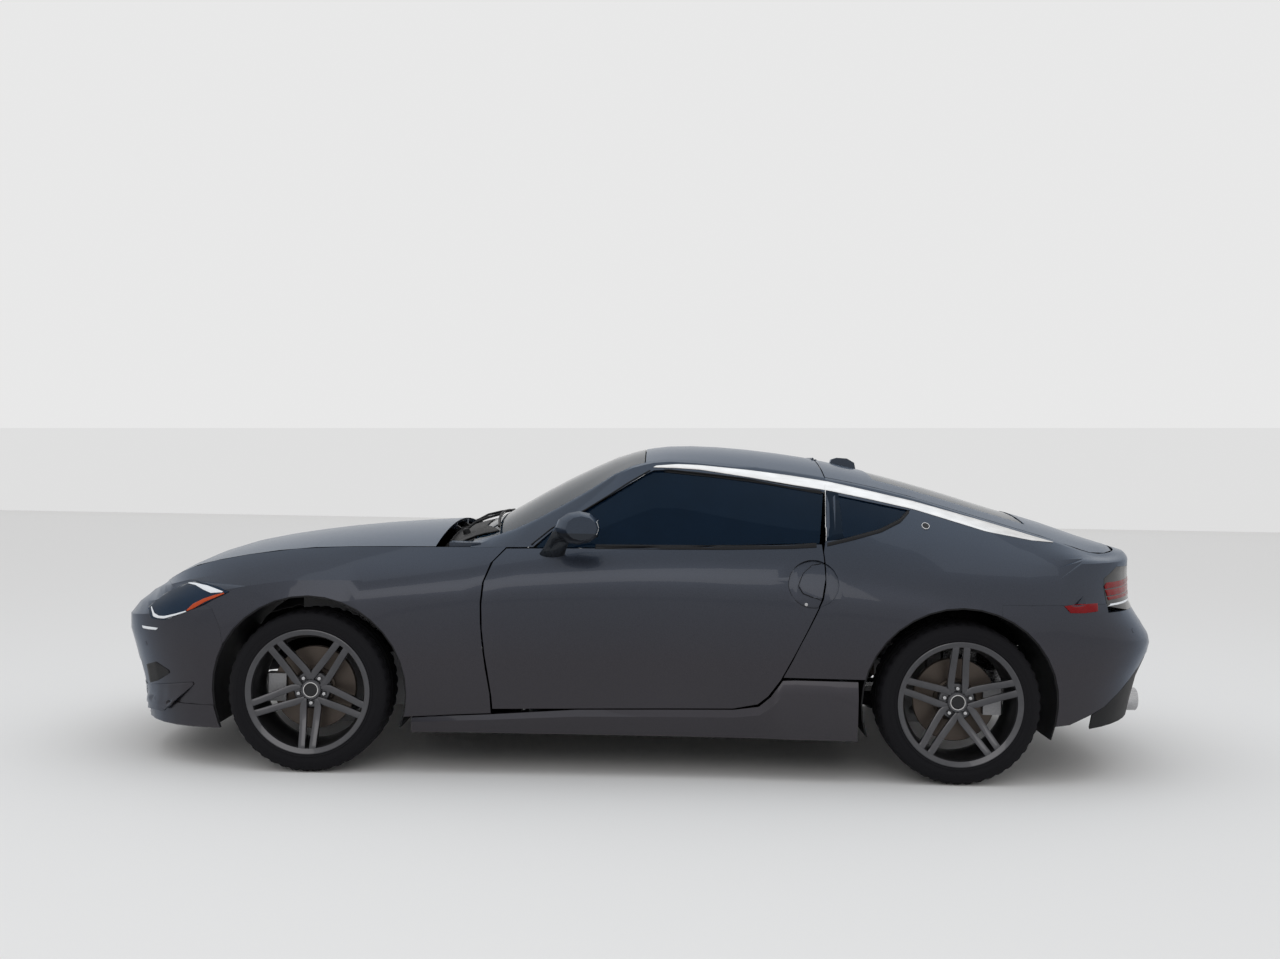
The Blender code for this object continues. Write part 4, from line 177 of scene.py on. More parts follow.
def begin(name, roughness=0.5, metallic=0.0, coat=0.0, alpha=1.0):
    """A new material, its shader, and the Object coordinates as a Flow."""
    made = bpy.data.materials.new(name)
    made.use_nodes = True
    shader = made.node_tree.nodes["Principled BSDF"]
    feed(shader, roughness=roughness, metallic=metallic, coat_weight=coat, coat_roughness=0.03, alpha=alpha)
    place = Flow(made.node_tree).node("TexCoord", out=3)
    return made, shader, place


def feed(shader, **values):
    """Links Flows to a shader's inputs, such as base_color=flow, and sets plain values."""
    for name, value in values.items():
        target = shader.inputs[name.replace("_", " ").title().replace("Ior", "IOR")]
        if isinstance(value, Flow):
            value.tree.links.new(value.socket, target)
        else:
            target.default_value = value


def noise(place, scale, detail=3.0, rough=0.5):
    settings = {"Vector": place, "Scale": scale, "Detail": detail, "Roughness": rough}
    return place.node("TexNoise", inputs=settings)


def bump(height, strength, distance):
    return height.node("Bump", inputs={"Height": height, "Strength": strength, "Distance": distance})


# %% [markdown]
# ## Paint
# The paint is a dark silver-grey with metal flakes under clear varnish. Flakes are far smaller than
# a pixel at this distance, so fine cells only shift the colour and the gloss a little; a slow
# noise keeps a large panel from looking like one flat fill. The colour goes from a warmer painted
# reflection of the ground below to a bluer painted reflection of the sky above, and dust gathers
# low on the car.

# %% Painted panels
# Painted reflection: the paint takes a warm ground tone below the first height and a bluer sky tone above the
# second; the last two heights bound the dust.
GROUND_REFLECTION_HEIGHT, SKY_REFLECTION_HEIGHT, DUST_TOP, DUST_FULL = 0.45, 1.0, 0.42, 0.12


def climb(height, low, high):
    """A value that goes from 0 to 1 as the height goes from low to high."""
    return height.node("MapRange", inputs={0: height, 1: low, 2: high, 3: 0.0, 4: 1.0})


def paint_finish():
    made, shader, place = begin("graphite_paint", metallic=0.72, coat=0.4)
    feed(shader, specular_tint=rgb(0.4, 0.52, 0.7))
    flake = place.node("TexVoronoi", inputs={"Vector": place, "Scale": 900.0}, out=1)
    sparkle = flake.node("SeparateColor", inputs={0: flake})
    drift = noise(place, 1.7, 2.0)
    shade = sparkle * 0.34 + drift * 0.22
    height = place.node("SeparateXYZ", inputs={0: place}, out=2)
    # Painted reflection: the flake tones turn from a warm ground tone below to a bluer sky tone above.
    rise = climb(height, GROUND_REFLECTION_HEIGHT, SKY_REFLECTION_HEIGHT)
    dark = rise.mix(rgb(0.027, 0.024, 0.028), rgb(0.024, 0.031, 0.044))
    color = shade.mix(dark, rise.mix(rgb(0.056, 0.051, 0.058), rgb(0.05, 0.065, 0.092)))
    dust = climb(height, DUST_TOP, DUST_FULL) * noise(place, 5.0, 6.0)
    feed(shader, base_color=(dust * 0.35).mix(color, rgb(0.045, 0.038, 0.033)),
         roughness=sparkle * 0.1 + dust * 0.1 + 0.27, normal=bump(sparkle, 0.05, 0.0004))
    return made


# %% [markdown]
# ## Glass
# The side windows are tinted almost black with a blue cast; the seats only just show. Alpha lets
# the cabin through without tracing refraction in thin panes.

# %% Tinted glass
def glass_finish(name, tint, alpha, specular=0.12):
    made, shader, place = begin(name, alpha=alpha)
    smear = noise(place, 9.0, 4.0)
    feed(shader, base_color=(smear * 0.5).mix(rgb(*tint), rgb(*(2.0 * c for c in tint))),
         roughness=smear * 0.05 + 0.01, specular_ior_level=specular, specular_tint=rgb(0.55, 0.78, 1.0))
    return made


# %% [markdown]
# ## Plastics, rubber and leather
# Moulded plastic has a fine pebbled grain that breaks up its reflections. Rubber is duller still,
# paler where it has worn, and leather has a coarser and deeper grain.

# %% Grained finishes
def grain_finish(name, shade, roughness, scale, depth, coat=0.0, worn=1.6, specular=0.22):
    made, shader, place = begin(name, coat=coat)
    grain = place.node("TexVoronoi", {"feature": "SMOOTH_F1"}, {"Vector": place, "Scale": scale})
    patch = noise(place, scale / 60, 5.0)
    feed(shader, base_color=(patch * 0.6 + grain * 0.3).mix(rgb(*shade), rgb(*(worn * c for c in shade))),
         roughness=patch * 0.14 + (roughness - 0.07), normal=bump(grain, 0.35, depth),
         specular_ior_level=specular)
    return made


# %% [markdown]
# ## Metals
# Cast metal is lumpy and dull, painted alloy is smooth and faintly uneven, and bright steel and
# satin trim are brushed. A brushed streak is a noise stretched along one axis.

# %% Metals
def metal_finish(name, shade, roughness, metallic, scale, stretch=(1, 1, 1), depth=0.0003, coat=0.0):
    made, shader, place = begin(name, metallic=metallic, coat=coat)
    along = place.node("Mapping", inputs={"Vector": place, "Scale": stretch})
    streak = noise(along, scale, 5.0, 0.6)
    feed(shader, base_color=streak.mix(rgb(*(0.72 * c for c in shade)), rgb(*(1.28 * c for c in shade))),
         roughness=streak * 0.2 + (roughness - 0.1), normal=bump(streak, 0.25, depth))
    return made


PAINT = paint_finish()
SIDE_GLASS = glass_finish("side_glass", (0.002, 0.006, 0.014), 0.965)
GLASS_BAND = glass_finish("glass_band", (0.002, 0.005, 0.011), 1.0)
SCREEN_GLASS = glass_finish("screen_glass", (0.006, 0.014, 0.024), 0.84, 0.1)
LENS = glass_finish("lamp_lens", (0.012, 0.022, 0.04), 0.86)
BLACK_TRIM = grain_finish("black_trim", (0.005, 0.005, 0.006), 0.55, 900.0, 0.0002)
GLOSS_BLACK = grain_finish("gloss_black", (0.006, 0.006, 0.007), 0.14, 60.0, 0.00005, coat=0.25)
CABIN = grain_finish("cabin_vinyl", (0.016, 0.016, 0.017), 0.62, 500.0, 0.0003)
LEATHER = grain_finish("seat_leather", (0.02, 0.019, 0.018), 0.52, 420.0, 0.0005, worn=1.9)
RUBBER = grain_finish("tyre_rubber", (0.0024, 0.0023, 0.0034), 0.8, 700.0, 0.0003, worn=2.2)
UNDERSIDE = grain_finish("underside_coating", (0.0035, 0.0035, 0.0035), 0.9, 160.0, 0.0012, worn=2.4,
                         specular=0.06)
ALLOY = metal_finish("spoke_alloy", (0.062, 0.062, 0.068), 0.32, 0.85, 30.0, depth=0.0001, coat=0.6)
BARREL = metal_finish("barrel_black", (0.004, 0.004, 0.005), 0.5, 0.3, 25.0)
DISC = metal_finish("turned_iron", (0.085, 0.07, 0.06), 0.42, 0.9, 12.0)
CAST = metal_finish("cast_metal", (0.3, 0.3, 0.31), 0.55, 0.8, 110.0, depth=0.001)
STEEL = metal_finish("bright_steel", (0.46, 0.46, 0.47), 0.26, 1.0, 40.0, (1, 1, 8), depth=0.0001)
SATIN = metal_finish("satin_trim", (0.76, 0.75, 0.74), 0.34, 0.9, 40.0, (0.3, 1, 1), depth=0.00005)
print("finishes", len(bpy.data.materials))

# %% [markdown]
# ## The solids keep their shape
# The solids arrive as loose triangles. A Weld modifier joins them, Edge Split keeps the corners
# sharp, and smooth shading with weighted normals rounds the rest, so a panel reflects as one
# surface. The finish of each solid changes and its mesh stays as it is. Tyres, rims and seats are
# replaced further down.

# %% Finishes of the solids
NODE_FINISHES = (
    (PAINT, ("body_side", "fender", "front_bumper", "rear_bumper", "roof", "side_skirt", "hood", "hatch",
             "door", "mirror")),
    (SIDE_GLASS, ("door_glass", "quarter_glass")),
    (SCREEN_GLASS, ("windscreen", "hatch_glass")),
    (LENS, ("headlamp",)),
    (GLOSS_BLACK, ("tail_lamps", "grille")),
    (BLACK_TRIM, ("diffuser", "cowl", "wheel_well_front", "wheel_well_rear")),
    (UNDERSIDE, ("floor_pan",)),
    (CABIN, ("dashboard", "steering_wheel")),
    (LEATHER, ("seat",)),
    (CAST, ("engine", "front_subframe", "rear_subframe", "knuckle")),
    (STEEL, ("exhaust",)),
    (RUBBER, ("tyre_front", "tyre_rear")),
    (ALLOY, ("rim_front", "rim_rear")),
)
finish_of = {word: finish for finish, words in NODE_FINISHES for word in words}
WELD, SHARP = 0.00002, math.radians(32)
for name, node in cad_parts.items():
    stem = name.removesuffix("_left").removesuffix("_right")
    node.material_slots[0].material = finish_of[stem]
    node.data.polygons.foreach_set("use_smooth", [True] * len(node.data.polygons))
    modify(node, "WELD", merge_threshold=WELD)
    modify(node, "EDGE_SPLIT", split_angle=SHARP)
    modify(node, "WEIGHTED_NORMAL", keep_sharp=True)
print("dressed solids", len(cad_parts))

# %% [markdown]
# ## Floor, backdrop and light
# The studio is pale and plain. One big soft lamp hangs over the car and one stands beside the
# camera. The floor is a wide plane, and a pale backdrop stands far behind the car, square to the
# camera, so that its top edge is one row of the picture. Above it the world's light grey shows.

# %% Studio
FLOOR_SIZE, SKYLINE_ROW, WALL_AWAY = 60, 428.0, 28.0
FLOOR_TONES = rgb(0.79, 0.78, 0.77), rgb(0.81, 0.8, 0.79)
WALL_TONES = rgb(0.728, 0.728, 0.728), rgb(0.732, 0.732, 0.732)
# The world's colour as soft light, and as the camera, reflections and panes see it.
WORLD_TONES = rgb(0.82, 0.83, 0.84), rgb(0.81, 0.81, 0.81)
# Lamps. Columns: name, place, size, power, colour.
LAMPS = (("overhead", (0.3, -0.8, 6.0), (9.0, 5.0), 70.0, (0.8, 0.9, 1.0)),
         ("camera_side", (-1.0, -8.0, 4.0), (6.0, 2.5), 60.0, (1.0, 0.97, 0.94)))
LAMP_TARGET = Vector((0, 0, 0.6))


def floor_and_backdrop():
    only()
    bpy.ops.mesh.primitive_plane_add(size=FLOOR_SIZE, location=(0, 0, 0))
    floor = bpy.context.object
    floor.name = "floor"
    made, shader, place = begin("studio_floor", roughness=0.9)
    feed(shader, base_color=(noise(place, 3.0, 4.0) * 0.2).mix(*FLOOR_TONES), specular_ior_level=0.0)
    floor.data.materials.append(made)
    wall = added("backdrop", bpy.data.meshes.new("backdrop"))
    rise = (MIDDLE_ROW - SKYLINE_ROW) / FOCAL_PIXELS * WALL_AWAY
    corners = [camera.matrix_world @ Vector((x, y, -WALL_AWAY))
               for x, y in ((-WALL_AWAY, -WALL_AWAY), (WALL_AWAY, -WALL_AWAY), (WALL_AWAY, rise),
                            (-WALL_AWAY, rise))]
    wall.data.from_pydata(corners, [], [(0, 1, 2, 3)])
    tone, shader, place = begin("backdrop", roughness=1.0)
    feed(shader, base_color=rgb(0, 0, 0), emission_strength=1.0,
         emission_color=noise(place, 3.0).mix(*WALL_TONES))
    wall.data.materials.append(tone)
    print("floor", tuple(floor.dimensions))


def sky():
    """The world, whose colour depends on what kind of ray meets it."""
    world = bpy.data.worlds.new("studio")
    bpy.context.scene.world = world
    world.use_nodes = True
    tree = world.node_tree
    rays = tree.nodes.new("ShaderNodeLightPath")
    camera_ray, glossy, clear = (Flow(tree, rays.outputs[f"Is {kind} Ray"])
                                 for kind in ("Camera", "Glossy", "Transmission"))
    seen = camera_ray.math("MAXIMUM", camera_ray, glossy)
    color = seen.math("MAXIMUM", seen, clear).mix(*WORLD_TONES)
    tree.links.new(color.socket, tree.nodes["Background"].inputs["Color"])


def light(name, place, size, power, color):
    """A soft rectangular lamp that looks at the middle of the car."""
    made = added(name, bpy.data.lights.new(name, "AREA"))
    made.data.shape, made.data.size, made.data.size_y = "RECTANGLE", *size
    made.data.energy, made.data.color = power, color
    made.location = place
    made.rotation_mode = "QUATERNION"
    made.rotation_quaternion = (LAMP_TARGET - Vector(place)).to_track_quat("-Z", "Y")


floor_and_backdrop()
sky()
for row in LAMPS:
    light(*row)
bpy.context.scene.view_settings.view_transform = "Standard"

# %% [markdown]
# ## Laying trim on the skin
# Trim must sit on the panel that carries it, from every side. Its outline is known in side view, so
# each of its points is dropped onto the panel with a ray, as one would press tape onto a real car.
# A grid primitive gets its vertices there, and Solidify and Bevel then give it a body. A point
# whose ray misses takes the place of the nearest one that was found.

# %% Rays onto the solids
def tree_of(*names):
    """A ray tree of some of the solids."""
    corners, faces = [], []
    for name in names:
        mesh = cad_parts[name].data
        first = len(corners)
        corners += [tuple(v.co) for v in mesh.vertices]
        faces += [tuple(first + i for i in polygon.vertices) for polygon in mesh.polygons]
    return BVHTree.FromPolygons(corners, faces)


FAR = 4.0
TAIL_X = 1.55
LOOKS = {"left": (0, 1, 0), "right": (0, -1, 0), "top": (0, 0, -1), "front": (1, 0, 0), "rear": (-1, 0, 0)}
FLIP_Y = Matrix.Scale(-1, 3, (0, 1, 0))


def pixel_ray(u, v, side):
    """Direction of the photograph's ray at a pixel, or of its mirror image for side -1."""
    right, up, back = (camera.matrix_world.col[i].to_3d() for i in range(3))
    ray = right * (u - FRAME_WIDTH / 2) / FOCAL_PIXELS - up * (v - MIDDLE_ROW) / FOCAL_PIXELS - back
    ray.y *= side
    return ray.normalized()


def hit(tree, view, u, w):
    """Point and normal where a view's ray meets the solids.

    Side views look at x, z; top at x, y; the ends at y, z; around takes an angle about the tail and
    z; photo takes a pixel's column and row, and photo_right the mirror image of its ray.
    """
    if view == "photo":
        origin, along = camera.location, pixel_ray(u, w, 1)
    elif view == "photo_right":
        origin, along = FLIP_Y @ camera.location, pixel_ray(u, w, -1)
    elif view == "around":
        origin = TAIL_X + FAR * math.cos(u), FAR * math.sin(u), w
        along = -math.cos(u), -math.sin(u), 0
    else:
        along = Vector(LOOKS[view])
        place = {"top": (u, w, 0), "front": (0, u, w), "rear": (0, u, w)}.get(view, (u, 0, w))
        origin = Vector(place) - along * FAR
    point, normal, _, _ = tree.ray_cast(Vector(origin), Vector(along))
    return point, normal


def along_line(line, share):
    """Point of a polyline at a share of its length."""
    lengths = [math.dist(a, b) for a, b in zip(line, line[1:])]
    goal = share * sum(lengths)
    for a, b, length in zip(line, line[1:], lengths):
        if goal <= length or (a, b) == (line[-2], line[-1]):
            t = goal / length if length else 0.0
            return tuple(p + (q - p) * t for p, q in zip(a, b))
        goal -= length


def finish_piece(piece, name, finish, body, smooth=35):
    """Names a finished object, puts its place in its mesh, and gives it its finish and body."""
    only(piece)
    bpy.ops.object.transform_apply(location=True, rotation=True, scale=True)
    bpy.ops.object.shade_smooth_by_angle(angle=math.radians(smooth))
    piece.name = piece.data.name = name
    piece.data.materials.clear()
    piece.data.materials.append(finish)
    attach(piece, body)
    return piece


def laid(name, tree, view, upper, lower, finish, body, slot, columns=24, rows=3, lift=0.0006, wall=0.004,
         crown=0.0, edge=0.0012, lean=0.0):
    """A patch between two lines of a view, laid on the skin.

    Crown raises its middle line, and lean pushes the middle of its lower edge outwards.
    """
    only()
    bpy.ops.mesh.primitive_grid_add(x_subdivisions=columns - 1, y_subdivisions=rows - 1, size=1)
    piece = bpy.context.object
    places, found = [], {}
    for vertex in piece.data.vertices:
        s, t = min(1, max(0, vertex.co.x + 0.5)), min(1, max(0, vertex.co.y + 0.5))
        top, low = along_line(upper, s), along_line(lower, s)
        point, normal = hit(tree, view, *(a + (b - a) * t for a, b in zip(low, top)))
        places.append((s, t))
        if point is not None:
            found[s, t] = point, normal
    for vertex, (s, t) in zip(piece.data.vertices, places):
        point, normal = found[min(found, key=lambda place: (place[0] - s) ** 2 + (place[1] - t) ** 2)]
        vertex.co = point + normal * (lift + crown * 4 * t * (1 - t) + lean * (1 - t) * 4 * s * (1 - s))
    edit((bpy.ops.mesh.remove_doubles, {"threshold": 0.00005}))
    middle = piece.data.polygons[len(piece.data.polygons) // 2]
    if middle.normal.dot(normal) < 0:
        piece.data.flip_normals()
    modify(piece, "SOLIDIFY", thickness=wall, offset=-0.2)
    modify(piece, "BEVEL", width=edge, segments=2, limit_method="ANGLE")
    apply_modifiers(piece)
    return finish_piece(piece, name, finish, body)


TRIM = BLACK_TRIM, "root", "black_plastic"


def mirror_view(side):
    return "left" if side < 0 else "right"


def photo_view(side):
    return "photo" if side < 0 else "photo_right"


# %% [markdown]
# ## Bright trim and belt moulding
# A satin strip starts over the door window, runs along the roof rail over the quarter window and
# fades out at the tail. A dark moulding seals the foot of the windows. Both are flat sections about
# 4 mm thick, so they are laid patches, and the moulding is split at the door's shut line.

# %% Trim along the windows
RAIL_TOP = mm((75, 1226), (160, 1233.5), (254, 1231), (459, 1213.5), (624, 1194.5), (779, 1172.5),
              (950, 1137), (1125, 1099), (1423, 1020.5), (1600, 970), (1700, 942))
RAIL_LOW = mm((62, 1219), (160, 1217.5), (254, 1212.5), (459, 1184), (624, 1158), (779, 1136), (950, 1103),
              (1125, 1066), (1412, 983), (1598, 950), (1700, 940.5))
BELT_DOOR = mm((-160, 910.5), (100, 913.5), (360, 917.5), (600, 925), (734, 933.5))
BELT_QUARTER = mm((754, 934.5), (837, 954), (973, 990), (1055, 1028), (1098, 1066))
BELT_HEIGHT, QUARTER_HEIGHT = 0.016, 0.0128


def lowered(line, drop):
    return tuple((x, z - drop) for x, z in line)


for tag, side in SIDES:
    shell = tree_of(f"body_side_{tag}", f"door_{tag}", f"door_glass_{tag}", f"quarter_glass_{tag}", "roof",
                    "hatch")
    view = mirror_view(side)
    laid(f"rail_trim_{tag}", shell, view, RAIL_TOP, RAIL_LOW, SATIN, "root", "steel", columns=90, rows=5,
         crown=0.001)
    laid(f"belt_moulding_{tag}", shell, view, BELT_DOOR, lowered(BELT_DOOR, BELT_HEIGHT), BLACK_TRIM,
         f"door_{tag}", "black_plastic", columns=40, rows=4, crown=0.002)
    laid(f"quarter_moulding_{tag}", shell, view, BELT_QUARTER, lowered(BELT_QUARTER, QUARTER_HEIGHT), *TRIM,
         columns=40, rows=4, crown=0.0015)
print("window trim laid")

# %% [markdown]
# ## Turned pieces
# A tyre, a rim's edge, a brake disc, a badge and a sensor are all turned. A circle's vertices are
# laid along the section, and Spin carries it round the axle.

# %% Turning
def turned(profile, steps=96):
    """A turned piece about Y at the origin. Profile rows: radius, reach towards -Y, all round the section."""
    only()
    bpy.ops.mesh.primitive_circle_add(vertices=len(profile), fill_type="NOTHING")
    piece = bpy.context.object
    for vertex, (radius, reach) in zip(piece.data.vertices, profile):
        vertex.co = (radius, -reach, 0)
    edit((bpy.ops.mesh.spin, {"steps": steps, "angle": 2 * math.pi, "center": (0, 0, 0), "axis": (0, 1, 0)}),
         (bpy.ops.mesh.remove_doubles, {"threshold": 0.00001}), FACE_OUT)
    return piece


def joined(pieces):
    """One object of several."""
    only(*pieces)
    if len(pieces) > 1:
        bpy.ops.object.join()
    return bpy.context.object


def bevelled(piece, width, segments=2):
    modify(piece, "BEVEL", width=width, segments=segments, limit_method="ANGLE")
    apply_modifiers(piece)
    return piece


# %% [markdown]
# ## Tyres
# The tyre has a bead, a ribbed rim guard, a bulging wall and a square shoulder. Four ring grooves
# come from the section itself, and cross grooves are pressed into the shoulders at every third step
# of the spin. There is no lettering on the wall, only a fine ring.

# %% Tyre with tread
TYRE_SECTION = mm((242.8, 110), (244.5, 118), (250, 122.1), (254.5, 122.6), (257, 120.6), (260, 121.2),
                  (276, 122.8), (277.2, 122), (278.4, 122.7), (290, 121.4), (299, 118.2), (307, 113),
                  (312.5, 106), (315.5, 98), (316.8, 88), (317.4, 75), (311, 73.8), (311, 65.2),
                  (317.6, 64), (318, 34), (311.2, 32.8), (311.2, 22.2), (318, 21))
LINER_SECTION = mm((260, -104), (300, -88), (300, 88), (260, 104))
TREAD_STEPS, CROSS_EVERY, CROSS_DEPTH, SHOULDER_REACH = 132, 3, 0.0055, 0.064


def tyre():
    outer = TYRE_SECTION + tuple((radius, -reach) for radius, reach in reversed(TYRE_SECTION))
    piece = turned(outer + LINER_SECTION, TREAD_STEPS)
    for vertex in piece.data.vertices:
        radius = math.hypot(vertex.co.x, vertex.co.z)
        step = round(math.atan2(vertex.co.z, vertex.co.x) / (2 * math.pi) * TREAD_STEPS)
        shoulder = abs(vertex.co.y) > SHOULDER_REACH - 0.0005 and radius > 0.3118
        if shoulder and step % CROSS_EVERY == (0 if vertex.co.y > 0 else 1):
            scale = (radius - CROSS_DEPTH) / radius
            vertex.co.x, vertex.co.z = vertex.co.x * scale, vertex.co.z * scale
    return piece


# %% [markdown]
# ## Wheels
# The alloy wheel is what the eye goes to. Five pairs of straight bars run from a small hub to the
# rim's edge, dish towards the hub, and leave a slot between them where a nut sits. A pair is two
# grids laid on the wheel's dished face, thickened and bevelled; the other pairs are turned copies.
# Behind the bars are a black barrel and a bell-shaped disc.

# %% Wheel parts
SPOKE_PAIRS = 5
RING_SECTION = mm((242.2, 109), (245.2, 116.5), (244.6, 121.5), (241.5, 122.4), (231, 118.2),
                  (223.5, 114.8), (220.5, 110), (219.5, 98), (229, 98))
BARREL_SECTION = mm((219.5, 105), (215, 90), (209, 60), (209, -50), (217, -95), (230, -118), (242.5, -120),
                    (242.5, -112), (232, -104), (220, -88), (214, -45), (214, 55), (220, 88), (229, 104))
HUB_SECTION = mm((30, 66.2), (37, 66), (40.5, 62.5), (42.5, 47), (70, 44), (74.5, 40), (74.5, 15), (30, 15))
CAP_SECTION = mm((0, 68.2), (15, 68.1), (24, 67.5), (26.2, 65.5), (26.2, 56), (0, 56))
CAP_RING_SECTION = mm((26, 66.5), (27.2, 69.2), (29.2, 69.2), (30.6, 66.5), (30.6, 56), (26, 56))
DISC_SECTION = mm((30, 11.8), (78, 11.8), (84.5, 7.5), (85, -3), (163, -4), (164.8, -5.5), (164.8, -11.5),
                  (156, -12), (156, -20), (164.8, -20.5), (164.8, -26.5), (163, -27.8), (87, -27.8),
                  (30, -27.8))
# One bar. Columns: radius, edge near the pair's middle, far edge, reach of the face, all along the bar.
BAR_ROWS = mm((34, 16, 30, 64), (50, 15.8, 38.5, 64.8), (68, 15, 42.5, 66.5), (90, 13.8, 41.8, 70.5),
              (115, 12.5, 40.2, 76.5), (140, 11.2, 38.8, 84), (165, 10, 37.4, 93), (190, 9, 36.2, 103.5),
              (210, 8.2, 35.6, 111), (224.5, 7.8, 35.2, 115))
BAR_WALL, BAR_EDGE = 0.026, 0.0028
NUT_CIRCLE, NUT_RADIUS, NUT_LOW, NUT_HIGH = 0.0535, 0.0095, 0.044, 0.061


def spoke_bar(side):
    """One bar of a pair that points straight down."""
    only()
    bpy.ops.mesh.primitive_grid_add(x_subdivisions=len(BAR_ROWS) - 1, y_subdivisions=2, size=1)
    piece = bpy.context.object
    for vertex in piece.data.vertices:
        row = BAR_ROWS[round((vertex.co.x + 0.5) * (len(BAR_ROWS) - 1))]
        share = vertex.co.y + 0.5
        radius, near, far, reach = row
        crown = 0.0008 * (1 - (2 * share - 1) ** 2)
        vertex.co = (side * (near + (far - near) * share), -(reach + crown), -radius)
    modify(piece, "SOLIDIFY", thickness=BAR_WALL, offset=-1 if piece.data.polygons[0].normal.y < 0 else 1)
    bevelled(piece, BAR_EDGE)
    edit(FACE_OUT)
    return piece


def copies_round(piece, count):
    """The piece and its copies, turned about the axle at equal steps, as one object."""
    made = []
    for k in range(count):
        copy = added(piece.name, piece.data.copy())
        copy.data.transform(Matrix.Rotation(2 * math.pi * k / count, 4, "Y"))
        made.append(copy)
    bpy.data.objects.remove(piece, do_unlink=True)
    return joined(made)


def nut():
    """A domed wheel nut below the hub, in the slot of a pair."""
    only()
    bpy.ops.mesh.primitive_cylinder_add(vertices=6, radius=NUT_RADIUS, depth=NUT_HIGH - NUT_LOW,
                                        rotation=(math.pi / 2, 0, 0),
                                        location=(0, -(NUT_LOW + NUT_HIGH) / 2, -NUT_CIRCLE))
    piece = bpy.context.object
    bpy.ops.object.mode_set(mode="EDIT")
    bpy.ops.mesh.select_all(action="DESELECT")
    bpy.ops.object.mode_set(mode="OBJECT")
    for face in piece.data.polygons:
        face.select = (piece.matrix_world.to_3x3() @ face.normal).y < -0.9
    bpy.ops.object.mode_set(mode="EDIT")
    bpy.ops.mesh.inset(thickness=0.003, depth=0.003)
    bpy.ops.object.mode_set(mode="OBJECT")
    bpy.ops.object.transform_apply(location=True, rotation=True, scale=True)
    return bevelled(piece, 0.0008)


wheel_parts = {
    "tyre": (tyre(), RUBBER, "tyre_rubber"),
    "spokes": (joined([copies_round(spoke_bar(-1), SPOKE_PAIRS), copies_round(spoke_bar(1), SPOKE_PAIRS),
                       turned(RING_SECTION, 120), turned(HUB_SECTION, 64)]), ALLOY, "grey_alloy"),
    "barrel": (turned(BARREL_SECTION, 96), BARREL, "grey_alloy"),
    "disc": (turned(DISC_SECTION, 96), DISC, "cast_metal"),
    "cap": (turned(CAP_SECTION, 48), GLOSS_BLACK, "black_plastic"),
    "cap_ring": (turned(CAP_RING_SECTION, 48), SATIN, "steel"),
    "nuts": (copies_round(nut(), SPOKE_PAIRS), STEEL, "steel"),
}
AXLE_X, WHEEL_Y, AXLE_HEIGHT = 1.275, 0.775, 0.318
WHEEL_PLACES = [(f"{end}_{tag}", x, side * WHEEL_Y) for end, x in (("front", -AXLE_X), ("rear", AXLE_X))
                for tag, side in SIDES]
for corner, x, y in WHEEL_PLACES:
    half_turn = Matrix.Rotation(math.pi if y > 0 else 0, 4, "Z")
    upside = Matrix.Rotation(math.pi if x > 0 else 0, 4, "Y")
    for part, (model, finish, slot) in wheel_parts.items():
        copy = added(model.name, model.data.copy())
        copy.data.transform(Matrix.Translation((x, y, AXLE_HEIGHT)) @ half_turn @ upside)
        finish_piece(copy, f"wheel_{part}_{corner}", finish, f"wheel_{corner}", smooth=32)
        if part == "tyre":
            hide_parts(f"tyre_{corner}")
        if part == "spokes":
            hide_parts(f"rim_{corner}")
for model, _, _ in wheel_parts.values():
    bpy.data.objects.remove(model, do_unlink=True)
print("wheels", len(WHEEL_PLACES), "of", len(wheel_parts), "parts")

# %% [markdown]
# ## Lamps
# The headlamp is a dark blue lens. Along its lower edge runs a white daytime strip, behind it an
# amber lens, and a painted highlight, a pale lens patch, lies on its upper rear corner. The tail
# lamps are a gloss black band with three stacked red bars on each side, the lowest one slimmer, and
# a slim clear strip below them. They are laid on the solids.

# %% Lamp finishes
def lens_finish(name, deep, bright, roughness=0.1):
    """A coloured lens with the upright ribs that spread its light."""
    made, shader, place = begin(name, coat=0.12)
    bands = {"Vector": place, "Scale": 60.0, "Distortion": 0.4}
    wave = place.node("TexWave", {"bands_direction": "X"}, bands, 1)
    feed(shader, base_color=wave.mix(rgb(*deep), rgb(*bright)), roughness=wave * 0.1 + roughness,
         normal=bump(wave, 0.2, 0.0008), specular_ior_level=0.1)
    return made


RED_LENS = lens_finish("red_lens", (0.1, 0.001, 0.002), (0.23, 0.003, 0.006))
AMBER_LENS = lens_finish("amber_lens", (0.34, 0.04, 0.01), (0.52, 0.075, 0.02))
CLEAR_LENS = lens_finish("clear_lens", (0.62, 0.64, 0.68), (0.88, 0.9, 0.92), 0.06)

# %% Headlamps
DAY_TOP = mm((-1951.5, 622.5), (-1928, 600), (-1900, 592.5), (-1872, 594), (-1820, 606.5), (-1772, 621))
DAY_LOW = mm((-1952.5, 618), (-1930, 587), (-1903, 583.5), (-1872, 585), (-1818, 601.5), (-1770, 618.5))
AMBER_TOP = mm((-1768, 624.5), (-1742, 650), (-1700, 671), (-1655, 687), (-1615, 697.5))
AMBER_LOW = mm((-1766, 621.5), (-1730, 636.5), (-1690, 655.5), (-1650, 674.5), (-1613, 694.5))
